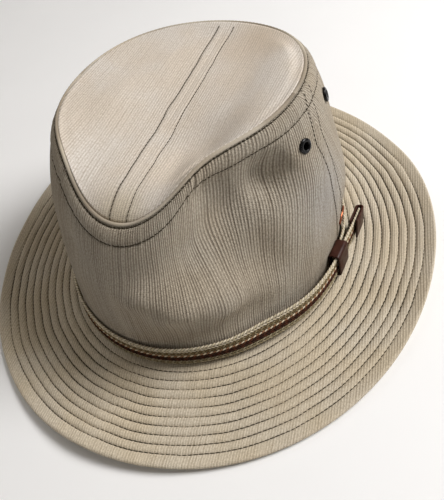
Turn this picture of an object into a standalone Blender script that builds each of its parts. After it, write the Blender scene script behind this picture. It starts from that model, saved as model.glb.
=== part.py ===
"""A soft cloth sun hat with a pinched crown, resting on its brim.

Frame: +X is the wearer's left, -Y the front, +Z up, and z = 0 the surface it rests on. Angles run round the
head from the front (0 degrees) over the wearer's left (90 degrees). All sizes are in metres.
"""
import bmesh
import bpy
import numpy as np

# Driving sizes of the head opening and the brim
BASE_HALF_LENGTH = 0.1010
BASE_HALF_WIDTH = 0.0884
BRIM_THICKNESS = 0.0022
ROW_COUNT = 10
ROW_FIRST = 0.0046
ROW_PITCH = 0.00535
EDGE_MARGIN = 0.0075
RIB_HEIGHT = 0.0005
BRIM_WIDTH = ROW_FIRST + (ROW_COUNT - 1) * ROW_PITCH + EDGE_MARGIN

# Driving sizes of the crown
CROWN_HEIGHT = 0.1180
CROWN_WALL = 0.0016
TIP_HALF_LENGTH = 0.0775
TIP_HALF_WIDTH = 0.0680
TIP_SHIFT = -0.0015
VALLEY_HEIGHT = 0.1100
VALLEY_RISE = 0.0100
LEAN_SHARE = 0.40
BEAD_DROP = 0.0030
BEAD_PROUD = 0.0005
BEAD_LIP = 0.0003

# Driving sizes of the braid, its leather, the vents and the plate. Between the pairs of angles from its start, in
# degrees, the braid settles on the wall and later lifts over its own start. Its tail is held for a few degrees.
BAND_HEIGHT = 0.0150
BAND_THICKNESS = 0.0018
BAND_CROWN = 0.0003
BAND_START = 86.0
BAND_SETTLE = (12.0, 26.0)
BAND_LIFT = (300.0, 348.0)
BAND_LAP = 23.0
TAIL_HELD = 6.0
BAND_FLARE = 0.0060
LEATHER = 0.0013
KEEPER_ANGLE = 89.0
KEEPER_WIDTH = 0.0140
END_WIDTH = 0.0115
VENT_RADIUS = 0.0042
VENT_BARREL = 0.0027
VENT_HOLE = 0.0020
VENT_PROUD = 0.0010
BADGE_ANGLE = 102.0
BADGE_LENGTH = 0.0150
BADGE_HEIGHT = 0.0085
BADGE_THICKNESS = 0.0012

# Clearance between sewn or seated pieces, and how finely the forms are cut
GAP = 0.0003
AROUND = 64
VENT_SIDES = 14
BADGE_SIDES = 18

# Height of the brim's underside over the surface, as shares of BRIM_WIDTH. The crown's foot is a level tipped up
# towards one angle. Half way and at the edge the brim has a level of its own, and the forms lift parts of it,
# each a soft bell round its angle. What would fall below the surface is pressed flat on it.
FOOT_LEVEL = 0.06
FOOT_LEAN = 0.02
FOOT_TOWARD = 45.0
BRIM_MIDDLE = -0.01
BRIM_EDGE = 0.02
BRIM_FORMS = [
    # name, angle, spread in degrees, lift half way, lift at the edge
    ("front lift", 0.0, 20.0, 0.05, 0.08),
    ("left side roll", 105.0, 35.0, 0.04, 0.17),
    ("back lift", 185.0, 20.0, 0.01, 0.08),
    ("right side roll", 240.0, 35.0, 0.05, 0.20),
]

# Seam between side crown and tip: an oval, and the forms that move it outwards, as shares of TIP_HALF_WIDTH, and
# upwards, as shares of CROWN_HEIGHT
TIP_FORMS = [
    # name, angle, spread in degrees, outwards, upwards
    ("front drop", 0.0, 35.0, 0.0, -0.18),
    ("left pinch", 50.0, 34.0, -0.26, 0.0),
    ("right pinch", 318.0, 28.0, -0.11, 0.0),
    ("left crest", 100.0, 35.0, 0.0, 0.04),
    ("left back quarter", 140.0, 32.0, 0.10, 0.0),
    ("right back quarter", 230.0, 32.0, 0.12, -0.02),
]

# Powers of how sharply the tip turns to its seam and the wall turns in at its shoulder. Rows at 30 degrees.
EDGE_POWERS = [
    # name, turn, shoulder
    ("front", 9.0, 6.0),
    ("front left 30", 6.0, 2.6),
    ("left 60", 3.6, 1.4),
    ("left", 2.4, 5.0),
    ("left 120", 2.4, 8.0),
    ("back left 150", 3.6, 9.0),
    ("back", 7.0, 9.0),
    ("back right 210", 3.6, 6.0),
    ("right 240", 2.4, 6.0),
    ("right", 2.4, 6.0),
    ("right 300", 3.6, 6.0),
    ("front right 330", 6.0, 5.5),
]

# Soft dents (below zero) and swells of the side crown: place, spread and depth. They fade out towards the
# braid and the seam, from these shares of the height.
DENT_FADE = (0.35, 0.85)
DENTS = [
    # name, angle, share of height, spread in degrees, spread in height, depth as a share of BASE_HALF_WIDTH
    ("front swell", 22.0, 0.34, 26.0, 0.24, 0.025),
    ("pinch hollow", 44.0, 0.86, 13.0, 0.10, -0.034),
    ("left hollow", 77.0, 0.80, 10.0, 0.10, -0.024),
    ("left back swell", 116.0, 0.36, 26.0, 0.26, 0.060),
    ("right back swell", 240.0, 0.40, 26.0, 0.26, 0.040),
]

# Vents: angle round the head and share of the side crown's height.
VENTS = [
    ("eyelet_left_front", 89.0, 0.81),
    ("eyelet_left_back", 115.5, 0.83),
    ("eyelet_right_front", 271.0, 0.81),
    ("eyelet_right_back", 244.5, 0.83),
]


def column(table, index):
    """One column of a table as an array."""
    return np.array([row[index] for row in table])


def around(values, angle):
    """Smooth closed curve through evenly spaced rows, each weighed in by a periodic wave of its distance."""
    count = len(values)
    step = np.asarray(angle)[..., None] - 2 * np.pi * np.arange(count) / count
    step = (step + np.pi) % (2 * np.pi) - np.pi
    near = np.abs(step) < 1e-7
    step = np.where(near, 1e-7, step)
    weight = np.sin(count * step / 2) / (count * np.tan(step / 2))
    return (np.where(near, 1.0, weight) * values).sum(-1)


def forms(table, index, angle):
    """Sum of soft bells round their angles, from one column of a table of named forms."""
    total = 0.0
    for row in table:
        turn = (np.degrees(angle) - row[1] + 180) % 360 - 180
        total = total + row[index] * np.exp(-(turn / row[2]) ** 2)
    return total


def fade(low, high, value):
    """0 below low, 1 above high, and a smooth step between."""
    share = np.clip((value - low) / (high - low), 0.0, 1.0)
    return share * share * (3 - 2 * share)


def xyz(x, y, z):
    """Points from three arrays of one shape."""
    return np.stack(np.broadcast_arrays(x, y, z), -1)


def unit(vectors):
    """Vectors scaled to length 1."""
    return vectors / np.linalg.norm(vectors, axis=-1, keepdims=True)


def base_oval(angle):
    """Head opening: an ellipse, and the direction out of it in plan."""
    point = xyz(BASE_HALF_WIDTH * np.sin(angle), -BASE_HALF_LENGTH * np.cos(angle), 0.0)
    out = unit(xyz(BASE_HALF_LENGTH * np.sin(angle), -BASE_HALF_WIDTH * np.cos(angle), 0.0))
    return point, out


def rib(across):
    """Height of the soft ribs between the rows of stitches, at a distance from the crown."""
    rows = ROW_FIRST + ROW_PITCH * np.arange(ROW_COUNT)
    seams = np.concatenate([[0.0], rows, [BRIM_WIDTH]])
    lane = np.clip(np.searchsorted(seams, across, side="right") - 1, 0, ROW_COUNT)
    share = np.clip((across - seams[lane]) / (seams[lane + 1] - seams[lane]), 0.0, 1.0)
    return RIB_HEIGHT * np.sin(np.pi * share)


def foot_share(angle):
    """Height of the crown's foot as a share of BRIM_WIDTH: a level tipped up towards one angle."""
    return FOOT_LEVEL + FOOT_LEAN * np.cos(angle - np.radians(FOOT_TOWARD))


def brim_point(angle, across, up):
    """Point of the brim: a parabola of height across the width, its length kept along the cloth."""
    near = foot_share(angle)
    middle = BRIM_MIDDLE + forms(BRIM_FORMS, 3, angle)
    edge = BRIM_EDGE + forms(BRIM_FORMS, 4, angle)
    slope = 4 * middle - 3 * near - edge
    curve = 2 * near + 2 * edge - 4 * middle
    share = np.clip(across / BRIM_WIDTH, 0.0, None)
    height = BRIM_WIDTH * (near + slope * share + curve * share**2)
    bent = slope**2 * share + 2 * slope * curve * share**2 + 4 / 3 * curve**2 * share**3
    point, out = base_oval(angle)
    reach = across - BRIM_WIDTH * bent / 2
    point = point + out * reach[..., None]
    point[..., 2] = np.maximum(height, 0.0) + up
    return point


def foot_height(angle):
    """Height of the brim's upper face where the side crown stands on it."""
    return BRIM_WIDTH * foot_share(angle) + BRIM_THICKNESS


def seam_point(angle):
    """Point of the seam between side crown and tip."""
    out = unit(xyz(TIP_HALF_LENGTH * np.sin(angle), -TIP_HALF_WIDTH * np.cos(angle), 0.0))
    move = TIP_HALF_WIDTH * forms(TIP_FORMS, 3, angle)
    foot = BRIM_WIDTH * FOOT_LEVEL + BRIM_THICKNESS
    height = foot + CROWN_HEIGHT * (1 + forms(TIP_FORMS, 4, angle))
    point = xyz(TIP_HALF_WIDTH * np.sin(angle), TIP_SHIFT - TIP_HALF_LENGTH * np.cos(angle), height)
    return point + out * np.asarray(move)[..., None]


def dent(angle, share):
    """Sum of the soft bells of the table of dents."""
    depth = 0.0
    for _name, place, level, wide, tall, size in DENTS:
        turn = (np.degrees(angle) - place + 180) % 360 - 180
        depth = depth + size * np.exp(-(turn / wide) ** 2 - ((share - level) / tall) ** 2)
    low, high = DENT_FADE
    return BASE_HALF_WIDTH * depth * fade(0.0, low, share) * fade(1.0, high, share)


def wall_point(angle, share):
    """Outer face of the side crown: a steady lean from the head oval, then a shoulder in to the seam."""
    angle, share = np.broadcast_arrays(angle, share)
    low, out = base_oval(angle)
    top = seam_point(angle)
    level = np.clip(share, 0.0, None)
    lean = LEAN_SHARE * level + (1 - LEAN_SHARE) * level ** around(column(EDGE_POWERS, 2), angle)
    point = low + (top - low) * lean[..., None] + out * dent(angle, share)[..., None]
    foot = foot_height(angle) + GAP
    point[..., 2] = foot + (top[..., 2] - foot) * share
    return point


def wall_frame(angle, share):
    """A point of the outer face with the directions up along the cloth and out of it."""
    step = 1e-4
    along = wall_point(angle + step, share) - wall_point(angle - step, share)
    up = unit(wall_point(angle, share + step) - wall_point(angle, share - step))
    out = unit(np.cross(along, up))
    return wall_point(angle, share), up, out


def on_wall(angle, height, off):
    """Point that lies a height above the wall's foot and a distance off its outer face."""
    tall = seam_point(angle)[..., 2] - foot_height(angle) - GAP
    point, _up, out = wall_frame(angle, height / tall)
    return point + out * np.asarray(off)[..., None]


def tip_point(angle, share):
    """Upper face of the tip: a lengthwise valley that turns up or down to the seam all round."""
    seam = seam_point(angle)
    ahead = seam_point(angle + 1e-4) - seam_point(angle - 1e-4)
    out = unit(xyz(ahead[..., 1], -ahead[..., 0], 0.0))
    edge = seam - out * (CROWN_WALL + BEAD_LIP + GAP)
    foot = BRIM_WIDTH * FOOT_LEVEL + BRIM_THICKNESS
    point = xyz(edge[..., 0] * share, TIP_SHIFT + (edge[..., 1] - TIP_SHIFT) * share, 0.0)

    def valley(back):
        return foot + VALLEY_HEIGHT + VALLEY_RISE * back / (2 * TIP_HALF_LENGTH)

    rise = seam[..., 2] - BEAD_PROUD - valley(edge[..., 1])
    turn = around(column(EDGE_POWERS, 1), angle)
    point[..., 2] = valley(point[..., 1]) + rise * share**turn
    return point


def material(name, color, roughness, metallic=0.0):
    """A plain material with one colour."""
    made = bpy.data.materials.new(name)
    made.use_nodes = True
    shader = made.node_tree.nodes["Principled BSDF"]
    shader.inputs["Base Color"].default_value = (*color, 1.0)
    shader.inputs["Roughness"].default_value = roughness
    shader.inputs["Metallic"].default_value = metallic
    return made


def build(name, points, faces, finish, sharp=40.0):
    """One object from points and faces, its faces turned outwards and its round parts shaded smooth."""
    mesh = bpy.data.meshes.new(name)
    mesh.from_pydata([tuple(p) for p in points], [], faces)
    solid = bmesh.new()
    solid.from_mesh(mesh)
    bmesh.ops.recalc_face_normals(solid, faces=solid.faces)
    solid.to_mesh(mesh)
    solid.free()
    mesh.shade_smooth()
    mesh.set_sharp_from_angle(angle=np.radians(sharp))
    mesh.materials.append(finish)
    made = bpy.data.objects.new(name, mesh)
    bpy.context.collection.objects.link(made)
    return made


def grid_faces(rows, count, close_rows, close_count):
    """Four-sided faces between neighbouring points of a grid, closed round either way."""
    faces = []
    for i in range(rows if close_rows else rows - 1):
        for j in range(count if close_count else count - 1):
            k = (i + 1) % rows
            m = (j + 1) % count
            faces.append((i * count + j, i * count + m, k * count + m, k * count + j))
    return faces


def ring_solid(name, rings, finish):
    """A closed ring: a loop of rings, each running all the way round."""
    count = len(rings[0])
    return build(name, np.concatenate(rings), grid_faces(len(rings), count, True, True), finish)


def swept_solid(name, sections, finish):
    """A closed bar: like sections one after another, with a face at each end."""
    count = len(sections[0])
    faces = grid_faces(len(sections), count, False, True)
    last = (len(sections) - 1) * count
    faces.append(tuple(range(count)))
    faces.append(tuple(range(last, last + count)))
    return build(name, np.concatenate(sections), faces, finish)


def dome_solid(name, first, rings, last, finish):
    """A closed body from one pole over rings to the other pole."""
    count = len(rings[0])
    faces = [(i + 1, j + 1, k + 1, m + 1) for i, j, k, m in grid_faces(len(rings), count, False, True)]
    end = 1 + len(rings) * count
    faces += [(0, 1 + j, 1 + (j + 1) % count) for j in range(count)]
    faces += [(end, end - count + j, end - count + (j + 1) % count) for j in range(count)]
    return build(name, np.concatenate([[first], *rings, [last]]), faces, finish)


def make_brim(finish):
    """Ring of stitched cloth, ribbed above between its rows and smooth below."""
    angle = np.arange(AROUND) * 2 * np.pi / AROUND
    inner = -CROWN_WALL - 2 * GAP
    rows = ROW_FIRST + ROW_PITCH * np.arange(ROW_COUNT)
    crests = np.concatenate([rows[:-1] + ROW_PITCH / 2, [rows[-1] + EDGE_MARGIN / 2]])
    above = np.sort(np.concatenate([[inner, 0.0], rows, crests, [BRIM_WIDTH - BRIM_THICKNESS / 3]]))
    below = BRIM_WIDTH * np.array([0.985, 0.82, 0.62, 0.5, 0.38, 0.2])
    rings = [brim_point(angle, np.full(AROUND, s), BRIM_THICKNESS + rib(s)) for s in above]
    rings.append(brim_point(angle, np.full(AROUND, BRIM_WIDTH), BRIM_THICKNESS / 2))
    rings += [brim_point(angle, np.full(AROUND, s), 0.0) for s in (*below, inner)]
    return ring_solid("brim", rings, finish)


def make_side_crown(finish):
    """Standing wall of the crown with a rolled seam along its top and four vent holes."""
    angle = np.arange(AROUND) * 2 * np.pi / AROUND
    tall = seam_point(angle)[:, 2] - foot_height(angle) - GAP
    top = 1 - BEAD_DROP / tall
    outer = (0.0, 0.1, 0.2, 0.3, 0.4, 0.5, 0.6, 0.7, 0.79, 0.87, 0.94, 1.0)
    inner = (1.0, 0.87, 0.7, 0.5, 0.3, 0.15, 0.0)
    rings = [wall_point(angle, top * share) for share in outer]
    seam, up, out = wall_frame(angle, np.ones(AROUND))
    deep = CROWN_WALL + BEAD_LIP
    bead = [
        # out of the wall, up along it
        (BEAD_PROUD, -0.6 * BEAD_DROP),
        (BEAD_PROUD, -0.2 * BEAD_DROP),
        (-0.2 * deep, 0.0),
        (-0.7 * deep, 0.0),
        (-deep, -0.2 * BEAD_DROP),
        (-deep, -0.7 * BEAD_DROP),
    ]
    rings += [seam + out * across + up * along for across, along in bead]
    for share in inner:
        point, _up, outward = wall_frame(angle, top * share)
        point[:, :2] -= outward[:, :2] * CROWN_WALL
        rings.append(point)
    wall = ring_solid("side_crown", rings, finish)
    for name, place, share in VENTS:
        cutter = vent_cutter(name + "_hole", np.radians(place), share)
        cut = wall.modifiers.new(name, "BOOLEAN")
        cut.object = cutter
    return wall


def turned(place, share, profile, sides):
    """Rings of a turned piece whose axis stands square on the wall: radius and height of each ring."""
    point, up, out = wall_frame(np.float64(place), np.float64(share))
    along = np.cross(up, out)
    turn = np.arange(sides)[:, None] * 2 * np.pi / sides
    spoke = np.cos(turn) * along + np.sin(turn) * up
    return [point + spoke * radius + out * height for radius, height in profile]


def vent_cutter(name, place, share):
    """Cylinder that cuts a vent's hole through the wall."""
    radius = VENT_BARREL + GAP
    reach = 3 * CROWN_WALL
    cutter = swept_solid(name, turned(place, share, [(radius, -reach), (radius, reach)], VENT_SIDES), None)
    cutter.hide_render = True
    cutter.display_type = "WIRE"
    return cutter


def make_vent(name, place, share, finish):
    """Metal eyelet: a flange outside, a barrel through the wall and a washer inside."""
    outside = 2 * GAP
    inside = -CROWN_WALL - 2 * GAP
    washer = (VENT_RADIUS + VENT_BARREL) / 2
    profile = [
        (VENT_HOLE, inside - VENT_PROUD / 2),
        (VENT_HOLE, outside + VENT_PROUD / 2),
        ((VENT_HOLE + VENT_RADIUS) / 2, outside + VENT_PROUD),
        (VENT_RADIUS, outside + VENT_PROUD / 3),
        (VENT_RADIUS, outside),
        (VENT_BARREL, outside),
        (VENT_BARREL, inside),
        (washer, inside),
        (washer, inside - VENT_PROUD / 2),
    ]
    return ring_solid(name, turned(np.radians(place), share, profile, VENT_SIDES), finish)


def make_tip(finish):
    """Dished top of the crown, inside the rolled seam."""
    angle = np.arange(AROUND) * 2 * np.pi / AROUND
    above = (0.16, 0.32, 0.47, 0.6, 0.72, 0.82, 0.9, 0.96, 1.0)
    below = (1.0, 0.9, 0.76, 0.55, 0.28)
    rings = [tip_point(angle, np.full(AROUND, share)) for share in above]
    rings += [tip_point(angle, np.full(AROUND, share)) - (0, 0, CROWN_WALL) for share in below]
    pole = tip_point(np.float64(0.0), np.float64(0.0))
    return dome_solid("tip", pole, rings, pole - (0, 0, CROWN_WALL), finish)


def band_foot():
    """Height of the braid's lower edge over the wall's foot: room for ribs and for the keeper's leather."""
    return RIB_HEIGHT + LEATHER + 2 * GAP


def band_off(turn):
    """Distance from the wall to the braid's inner face, at an angle in degrees that runs on past 360."""
    under = LEATHER + GAP
    over = under + BAND_THICKNESS + BAND_CROWN + GAP
    run = turn - BAND_START
    start = under * (1 - fade(*BAND_SETTLE, run))
    lap = over * fade(*BAND_LIFT, run)
    free = np.clip((run - 360.0 - TAIL_HELD) / (BAND_LAP - TAIL_HELD), 0.0, None)
    return GAP + start + lap + BAND_FLARE * free**1.5


def band_section(turn, corners):
    """Section of the braid or its leather: corners as distance off the wall and height over its foot."""
    angle = np.radians(turn)
    low = on_wall(angle, band_foot(), 0.0)
    high = on_wall(angle, band_foot() + BAND_HEIGHT, 0.0)
    up = unit(high - low)
    _point, out = base_oval(angle)
    out = unit(out - up * (out * up).sum(-1, keepdims=True))
    return np.array([low + out * off + up * height for off, height in corners])


def make_band(finish):
    """Striped braid: one strip that runs once round the crown and laps over its own start."""
    step = 360.0 / AROUND
    end = BAND_START + 360.0 + BAND_LAP
    inner = step * np.arange(np.ceil(BAND_START / step + 0.2), np.floor(end / step - 0.2) + 1)
    sections = []
    for turn in (BAND_START, *inner, end):
        off = band_off(turn)
        face = off + BAND_THICKNESS
        corners = [(off, 0.0), (off, BAND_HEIGHT), (face, BAND_HEIGHT), (face + BAND_CROWN, BAND_HEIGHT / 2)]
        sections.append(band_section(turn, [*corners, (face, 0.0)]))
    return swept_solid("hat_band", sections, finish)


def degrees_for(length, place):
    """Turn round the head that a length along the braid takes at an angle."""
    angle = np.radians(place)
    speed = np.hypot(BASE_HALF_WIDTH * np.cos(angle), BASE_HALF_LENGTH * np.sin(angle))
    return np.degrees(length / speed)


def make_keeper(finish):
    """Leather loop round both layers of the braid."""
    half = degrees_for(KEEPER_WIDTH, KEEPER_ANGLE) / 2
    rings = []
    for turn in np.linspace(KEEPER_ANGLE - half, KEEPER_ANGLE + half, 4):
        low = GAP + LEATHER
        high = band_off(turn + 360.0) + BAND_THICKNESS + BAND_CROWN + GAP
        hole = [(low, -GAP), (low, BAND_HEIGHT + GAP), (high, BAND_HEIGHT + GAP), (high, -GAP)]
        wide = high + LEATHER
        floor, roof = -GAP - LEATHER, BAND_HEIGHT + GAP + LEATHER
        trim = LEATHER / 2
        skin = [(GAP, floor), (GAP, roof), (wide - trim, roof), (wide, roof - trim), (wide, floor + trim)]
        rings.append((band_section(turn, [*skin, (wide - trim, floor)]), band_section(turn, hole)))
    outer = np.concatenate([skin for skin, _hole in rings])
    inner = np.concatenate([hole for _skin, hole in rings])
    start = len(outer)
    faces = grid_faces(4, 6, False, True)
    faces += [tuple(start + k for k in face) for face in grid_faces(4, 4, False, True)]
    for skin, hole in ((0, start), (start - 6, start + len(inner) - 4)):
        faces.append((skin, skin + 1, hole + 1, hole))
        faces.append((skin + 1, skin + 2, skin + 3, hole + 2, hole + 1))
        faces.append((skin + 3, skin + 4, hole + 3, hole + 2))
        faces.append((skin + 4, skin + 5, skin, hole, hole + 3))
    return build("band_keeper", np.concatenate([outer, inner]), faces, finish)


def make_band_end(finish):
    """Leather cap folded round the free end of the braid, open above and below."""
    end = BAND_START + 360.0 + BAND_LAP
    fold = degrees_for(GAP + LEATHER, end)
    start = end - degrees_for(END_WIDTH, end)
    turns = np.linspace(start, end + degrees_for(GAP, end), 5)
    off = band_off(turns)
    inside = off - GAP
    outside = off + BAND_THICKNESS + BAND_CROWN + GAP
    tail = end + fold
    middle = (inside[-1] + outside[-1]) / 2
    spread = (outside[-1] - inside[-1]) / 2 + LEATHER
    path = [(t, o + LEATHER) for t, o in zip(turns, outside)]
    path += [(tail, middle + 0.6 * spread), (tail, middle - 0.6 * spread)]
    path += [(t, o - LEATHER) for t, o in zip(turns[::-1], inside[::-1])]
    path += list(zip(turns, inside))
    path += list(zip(turns[::-1], outside[::-1]))
    spare = 2 * GAP
    low = [band_section(t, [(o, -spare)])[0] for t, o in path]
    high = [band_section(t, [(o, BAND_HEIGHT + spare)])[0] for t, o in path]
    return swept_solid("band_end", [np.array(low), np.array(high)], finish)


def make_badge(finish):
    """Small plain oval plate on the side seam, a little domed."""
    place = np.radians(BADGE_ANGLE)
    middle = band_foot() + BAND_HEIGHT + LEATHER + BADGE_HEIGHT / 2 + 4 * GAP
    turn = np.arange(BADGE_SIDES) * 2 * np.pi / BADGE_SIDES
    reach = np.radians(degrees_for(BADGE_LENGTH, BADGE_ANGLE)) / 2

    def ring(share, off):
        angle = place + share * reach * np.cos(turn)
        return on_wall(angle, middle + share * BADGE_HEIGHT / 2 * np.sin(turn), np.full(BADGE_SIDES, off))

    low = 1.5 * GAP
    rim = low + BADGE_THICKNESS / 2
    rings = [ring(0.5, low), ring(1.0, low), ring(1.0, rim), ring(0.6, low + BADGE_THICKNESS)]
    first = on_wall(place, middle, low)
    last = on_wall(place, middle, low + 1.1 * BADGE_THICKNESS)
    return dome_solid("side_badge", first, rings, last, finish)


def main():
    """Make every piece."""
    for old in list(bpy.data.objects):
        bpy.data.objects.remove(old)
    brim_cloth = material("brim_cloth", (0.62, 0.56, 0.47), 0.9)
    crown_cloth = material("crown_cloth", (0.58, 0.54, 0.48), 0.9)
    tip_cloth = material("tip_cloth", (0.64, 0.59, 0.52), 0.9)
    braid = material("braid", (0.30, 0.22, 0.13), 0.8)
    leather = material("leather", (0.07, 0.03, 0.02), 0.5)
    end_leather = material("end_leather", (0.07, 0.03, 0.02), 0.5)
    copper = material("copper", (0.55, 0.22, 0.12), 0.3, 1.0)
    gunmetal = material("gunmetal", (0.03, 0.03, 0.03), 0.3, 1.0)
    make_brim(brim_cloth)
    make_side_crown(crown_cloth)
    make_tip(tip_cloth)
    make_band(braid)
    make_keeper(leather)
    make_band_end(end_leather)
    make_badge(copper)
    for name, place, share in VENTS:
        make_vent(name, place, share, gunmetal)


main()
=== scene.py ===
# %% [markdown]
# A soft cloth sun hat, dressed in cells.
#
# The hat is already there as plain solids of the right size: brim, side crown, tip, braid, leather, plate
# and vents. This file gives each of them its cloth, seams, threads and metal. It repeats the sizes and
# formulas from which the solids were made, so that every new surface lies where its solid lies, and then
# adds what was too fine for a solid: ribs between rows of stitches, puckers, thread, twisted cords and the
# weave.

import bpy
import numpy as np
from mathutils import Matrix


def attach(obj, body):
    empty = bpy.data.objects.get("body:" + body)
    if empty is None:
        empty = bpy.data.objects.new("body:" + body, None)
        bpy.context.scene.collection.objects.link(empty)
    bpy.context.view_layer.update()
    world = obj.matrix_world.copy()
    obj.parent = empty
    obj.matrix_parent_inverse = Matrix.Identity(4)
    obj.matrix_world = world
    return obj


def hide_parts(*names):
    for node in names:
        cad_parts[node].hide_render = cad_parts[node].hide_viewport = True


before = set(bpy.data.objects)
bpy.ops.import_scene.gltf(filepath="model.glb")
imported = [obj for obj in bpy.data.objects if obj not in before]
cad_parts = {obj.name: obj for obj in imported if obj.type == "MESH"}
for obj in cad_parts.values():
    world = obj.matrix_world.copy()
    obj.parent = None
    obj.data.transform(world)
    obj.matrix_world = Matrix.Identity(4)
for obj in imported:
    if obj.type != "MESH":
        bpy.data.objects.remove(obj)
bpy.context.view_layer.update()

# %% [markdown]
# ## Sizes and forms of the plain hat
#
# A hat has no straight edge to measure from. It could be sculpted by eye, but then no second surface would
# ever fit the first. Here each form is a function of an angle round the head, from the front (0) over the
# wearer's left (90 degrees), so that cloth, stitches and braid all ask the same function where they are.

# %% Sizes in metres, as in the solids
BASE_HALF_LENGTH = 0.1010
BASE_HALF_WIDTH = 0.0884
BRIM_THICKNESS = 0.0022
ROW_COUNT = 10
ROW_FIRST = 0.0046
ROW_PITCH = 0.00535
EDGE_MARGIN = 0.0075
BRIM_WIDTH = ROW_FIRST + (ROW_COUNT - 1) * ROW_PITCH + EDGE_MARGIN
CROWN_HEIGHT = 0.1180
CROWN_WALL = 0.0016
TIP_HALF_LENGTH = 0.0775
TIP_HALF_WIDTH = 0.0680
TIP_SHIFT = -0.0015
VALLEY_HEIGHT = 0.1100
VALLEY_RISE = 0.0100
LEAN_SHARE = 0.40
BEAD_PROUD = 0.0005
BEAD_LIP = 0.0003
RIB_HEIGHT = 0.0005
BAND_HEIGHT = 0.0150
BAND_THICKNESS = 0.0018
BAND_CROWN = 0.0003
BAND_START = 86.0
BAND_SETTLE = (12.0, 26.0)
BAND_LIFT = (300.0, 348.0)
BAND_LAP = 23.0
TAIL_HELD = 6.0
BAND_FLARE = 0.0060
LEATHER = 0.0013
KEEPER_ANGLE = 89.0
KEEPER_WIDTH = 0.0140
END_WIDTH = 0.0115
VENT_RADIUS = 0.0042
VENT_BARREL = 0.0027
VENT_HOLE = 0.0020
VENT_PROUD = 0.0010
BADGE_ANGLE = 102.0
BADGE_LENGTH = 0.0150
BADGE_HEIGHT = 0.0085
BADGE_THICKNESS = 0.0012
GAP = 0.0003

# Underside of the brim over the surface, as shares of BRIM_WIDTH: where the crown stands on it, tipped up
# towards one angle, then its level half way and at the edge, and the forms that lift parts of it
FOOT_LEVEL = 0.06
FOOT_LEAN = 0.02
FOOT_TOWARD = 45.0
BRIM_MIDDLE = -0.01
BRIM_EDGE = 0.02
BRIM_FORMS = [
    # name, angle, spread in degrees, lift half way, lift at the edge
    ("front lift", 0.0, 20.0, 0.05, 0.08),
    ("left side roll", 105.0, 35.0, 0.04, 0.17),
    ("back lift", 185.0, 20.0, 0.01, 0.08),
    ("right side roll", 240.0, 35.0, 0.05, 0.20),
]

# Seam of the tip: an oval with the forms that move it, as shares of TIP_HALF_WIDTH and CROWN_HEIGHT
TIP_FORMS = [
    # name, angle, spread in degrees, outwards, upwards
    ("front drop", 0.0, 35.0, 0.0, -0.18),
    ("left pinch", 50.0, 34.0, -0.26, 0.0),
    ("right pinch", 318.0, 28.0, -0.11, 0.0),
    ("left crest", 100.0, 35.0, 0.0, 0.04),
    ("left back quarter", 140.0, 32.0, 0.10, 0.0),
    ("right back quarter", 230.0, 32.0, 0.12, -0.02),
]

# Powers every 30 degrees: how sharply the tip turns to its seam, and the wall at its shoulder
EDGE_POWERS = [
    (9.0, 6.0), (6.0, 2.6), (3.6, 1.4), (2.4, 5.0), (2.4, 8.0), (3.6, 9.0),
    (7.0, 9.0), (3.6, 6.0), (2.4, 6.0), (2.4, 6.0), (3.6, 6.0), (6.0, 5.5),
]

# Soft dents and swells of the wall: angle, share of height, spreads, and depth as a share of BASE_HALF_WIDTH
DENTS = [
    (22.0, 0.34, 26.0, 0.24, 0.025),
    (44.0, 0.86, 13.0, 0.10, -0.034),
    (77.0, 0.80, 10.0, 0.10, -0.024),
    (116.0, 0.36, 26.0, 0.26, 0.060),
    (240.0, 0.40, 26.0, 0.26, 0.040),
]
DENT_FADE = (0.35, 0.85)
VENTS = [
    # name of the solid, angle, share of the wall's height
    ("eyelet_left_front", 89.0, 0.81),
    ("eyelet_left_back", 115.5, 0.83),
    ("eyelet_right_front", 271.0, 0.81),
    ("eyelet_right_back", 244.5, 0.83),
]


# %% Small tools for curves and points
def circle(count):
    """Evenly spaced angles once round a circle."""
    return np.arange(count) * 2 * np.pi / count


def short_way(angle):
    """An angle brought between minus and plus half a turn."""
    return (angle + np.pi) % (2 * np.pi) - np.pi


def turn_from(place, angle):
    """Degrees from a place, given in degrees, to an angle, the short way round."""
    return (np.degrees(angle) - place + 180) % 360 - 180


def around(rows, index, angle):
    """Closed curve through evenly spaced rows: each row weighs in by a periodic wave of its distance."""
    values = np.array([row[index] for row in rows])
    count = len(values)
    step = short_way(np.asarray(angle)[..., None] - circle(count))
    near = np.abs(step) < 1e-7
    step = np.where(near, 1e-7, step)
    weight = np.sin(count * step / 2) / (count * np.tan(step / 2))
    return (np.where(near, 1.0, weight) * values).sum(-1)


def fade(low, high, value):
    """0 below low, 1 above high, and a smooth step between."""
    share = np.clip((value - low) / (high - low), 0.0, 1.0)
    return share * share * (3 - 2 * share)


def bell(value, wide):
    """Soft bump of height 1 round zero, gone at about twice its width."""
    return np.exp(-((value / wide) ** 2))


def forms(rows, index, angle):
    """Sum of soft bells round their angles, from one column of a table of named forms."""
    return sum(row[index] * bell(turn_from(row[1], angle), row[2]) for row in rows)


def xyz(x, y, z):
    """Points from three arrays of one shape."""
    return np.stack(np.broadcast_arrays(x, y, z), -1)


def unit(vectors):
    """Vectors scaled to length 1."""
    return vectors / np.linalg.norm(vectors, axis=-1, keepdims=True)


def run_along(line):
    """Length of a line of points from its start to each of them: the sum of the steps so far."""
    return np.concatenate([[0], np.cumsum(np.linalg.norm(np.diff(line, axis=0), axis=-1))])


def spaced(line, pitch, start, value):
    """A value of the line's points at even steps of about a pitch, the first one a share of a step in.

    Returns the value there, the lengths of those places along the line, and the lengths of its own points.
    """
    run = run_along(line)
    count = int(round(run[-1] / pitch))
    place = (np.arange(count) + start) / count * run[-1]
    return np.interp(place, run, value), place, run


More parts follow.
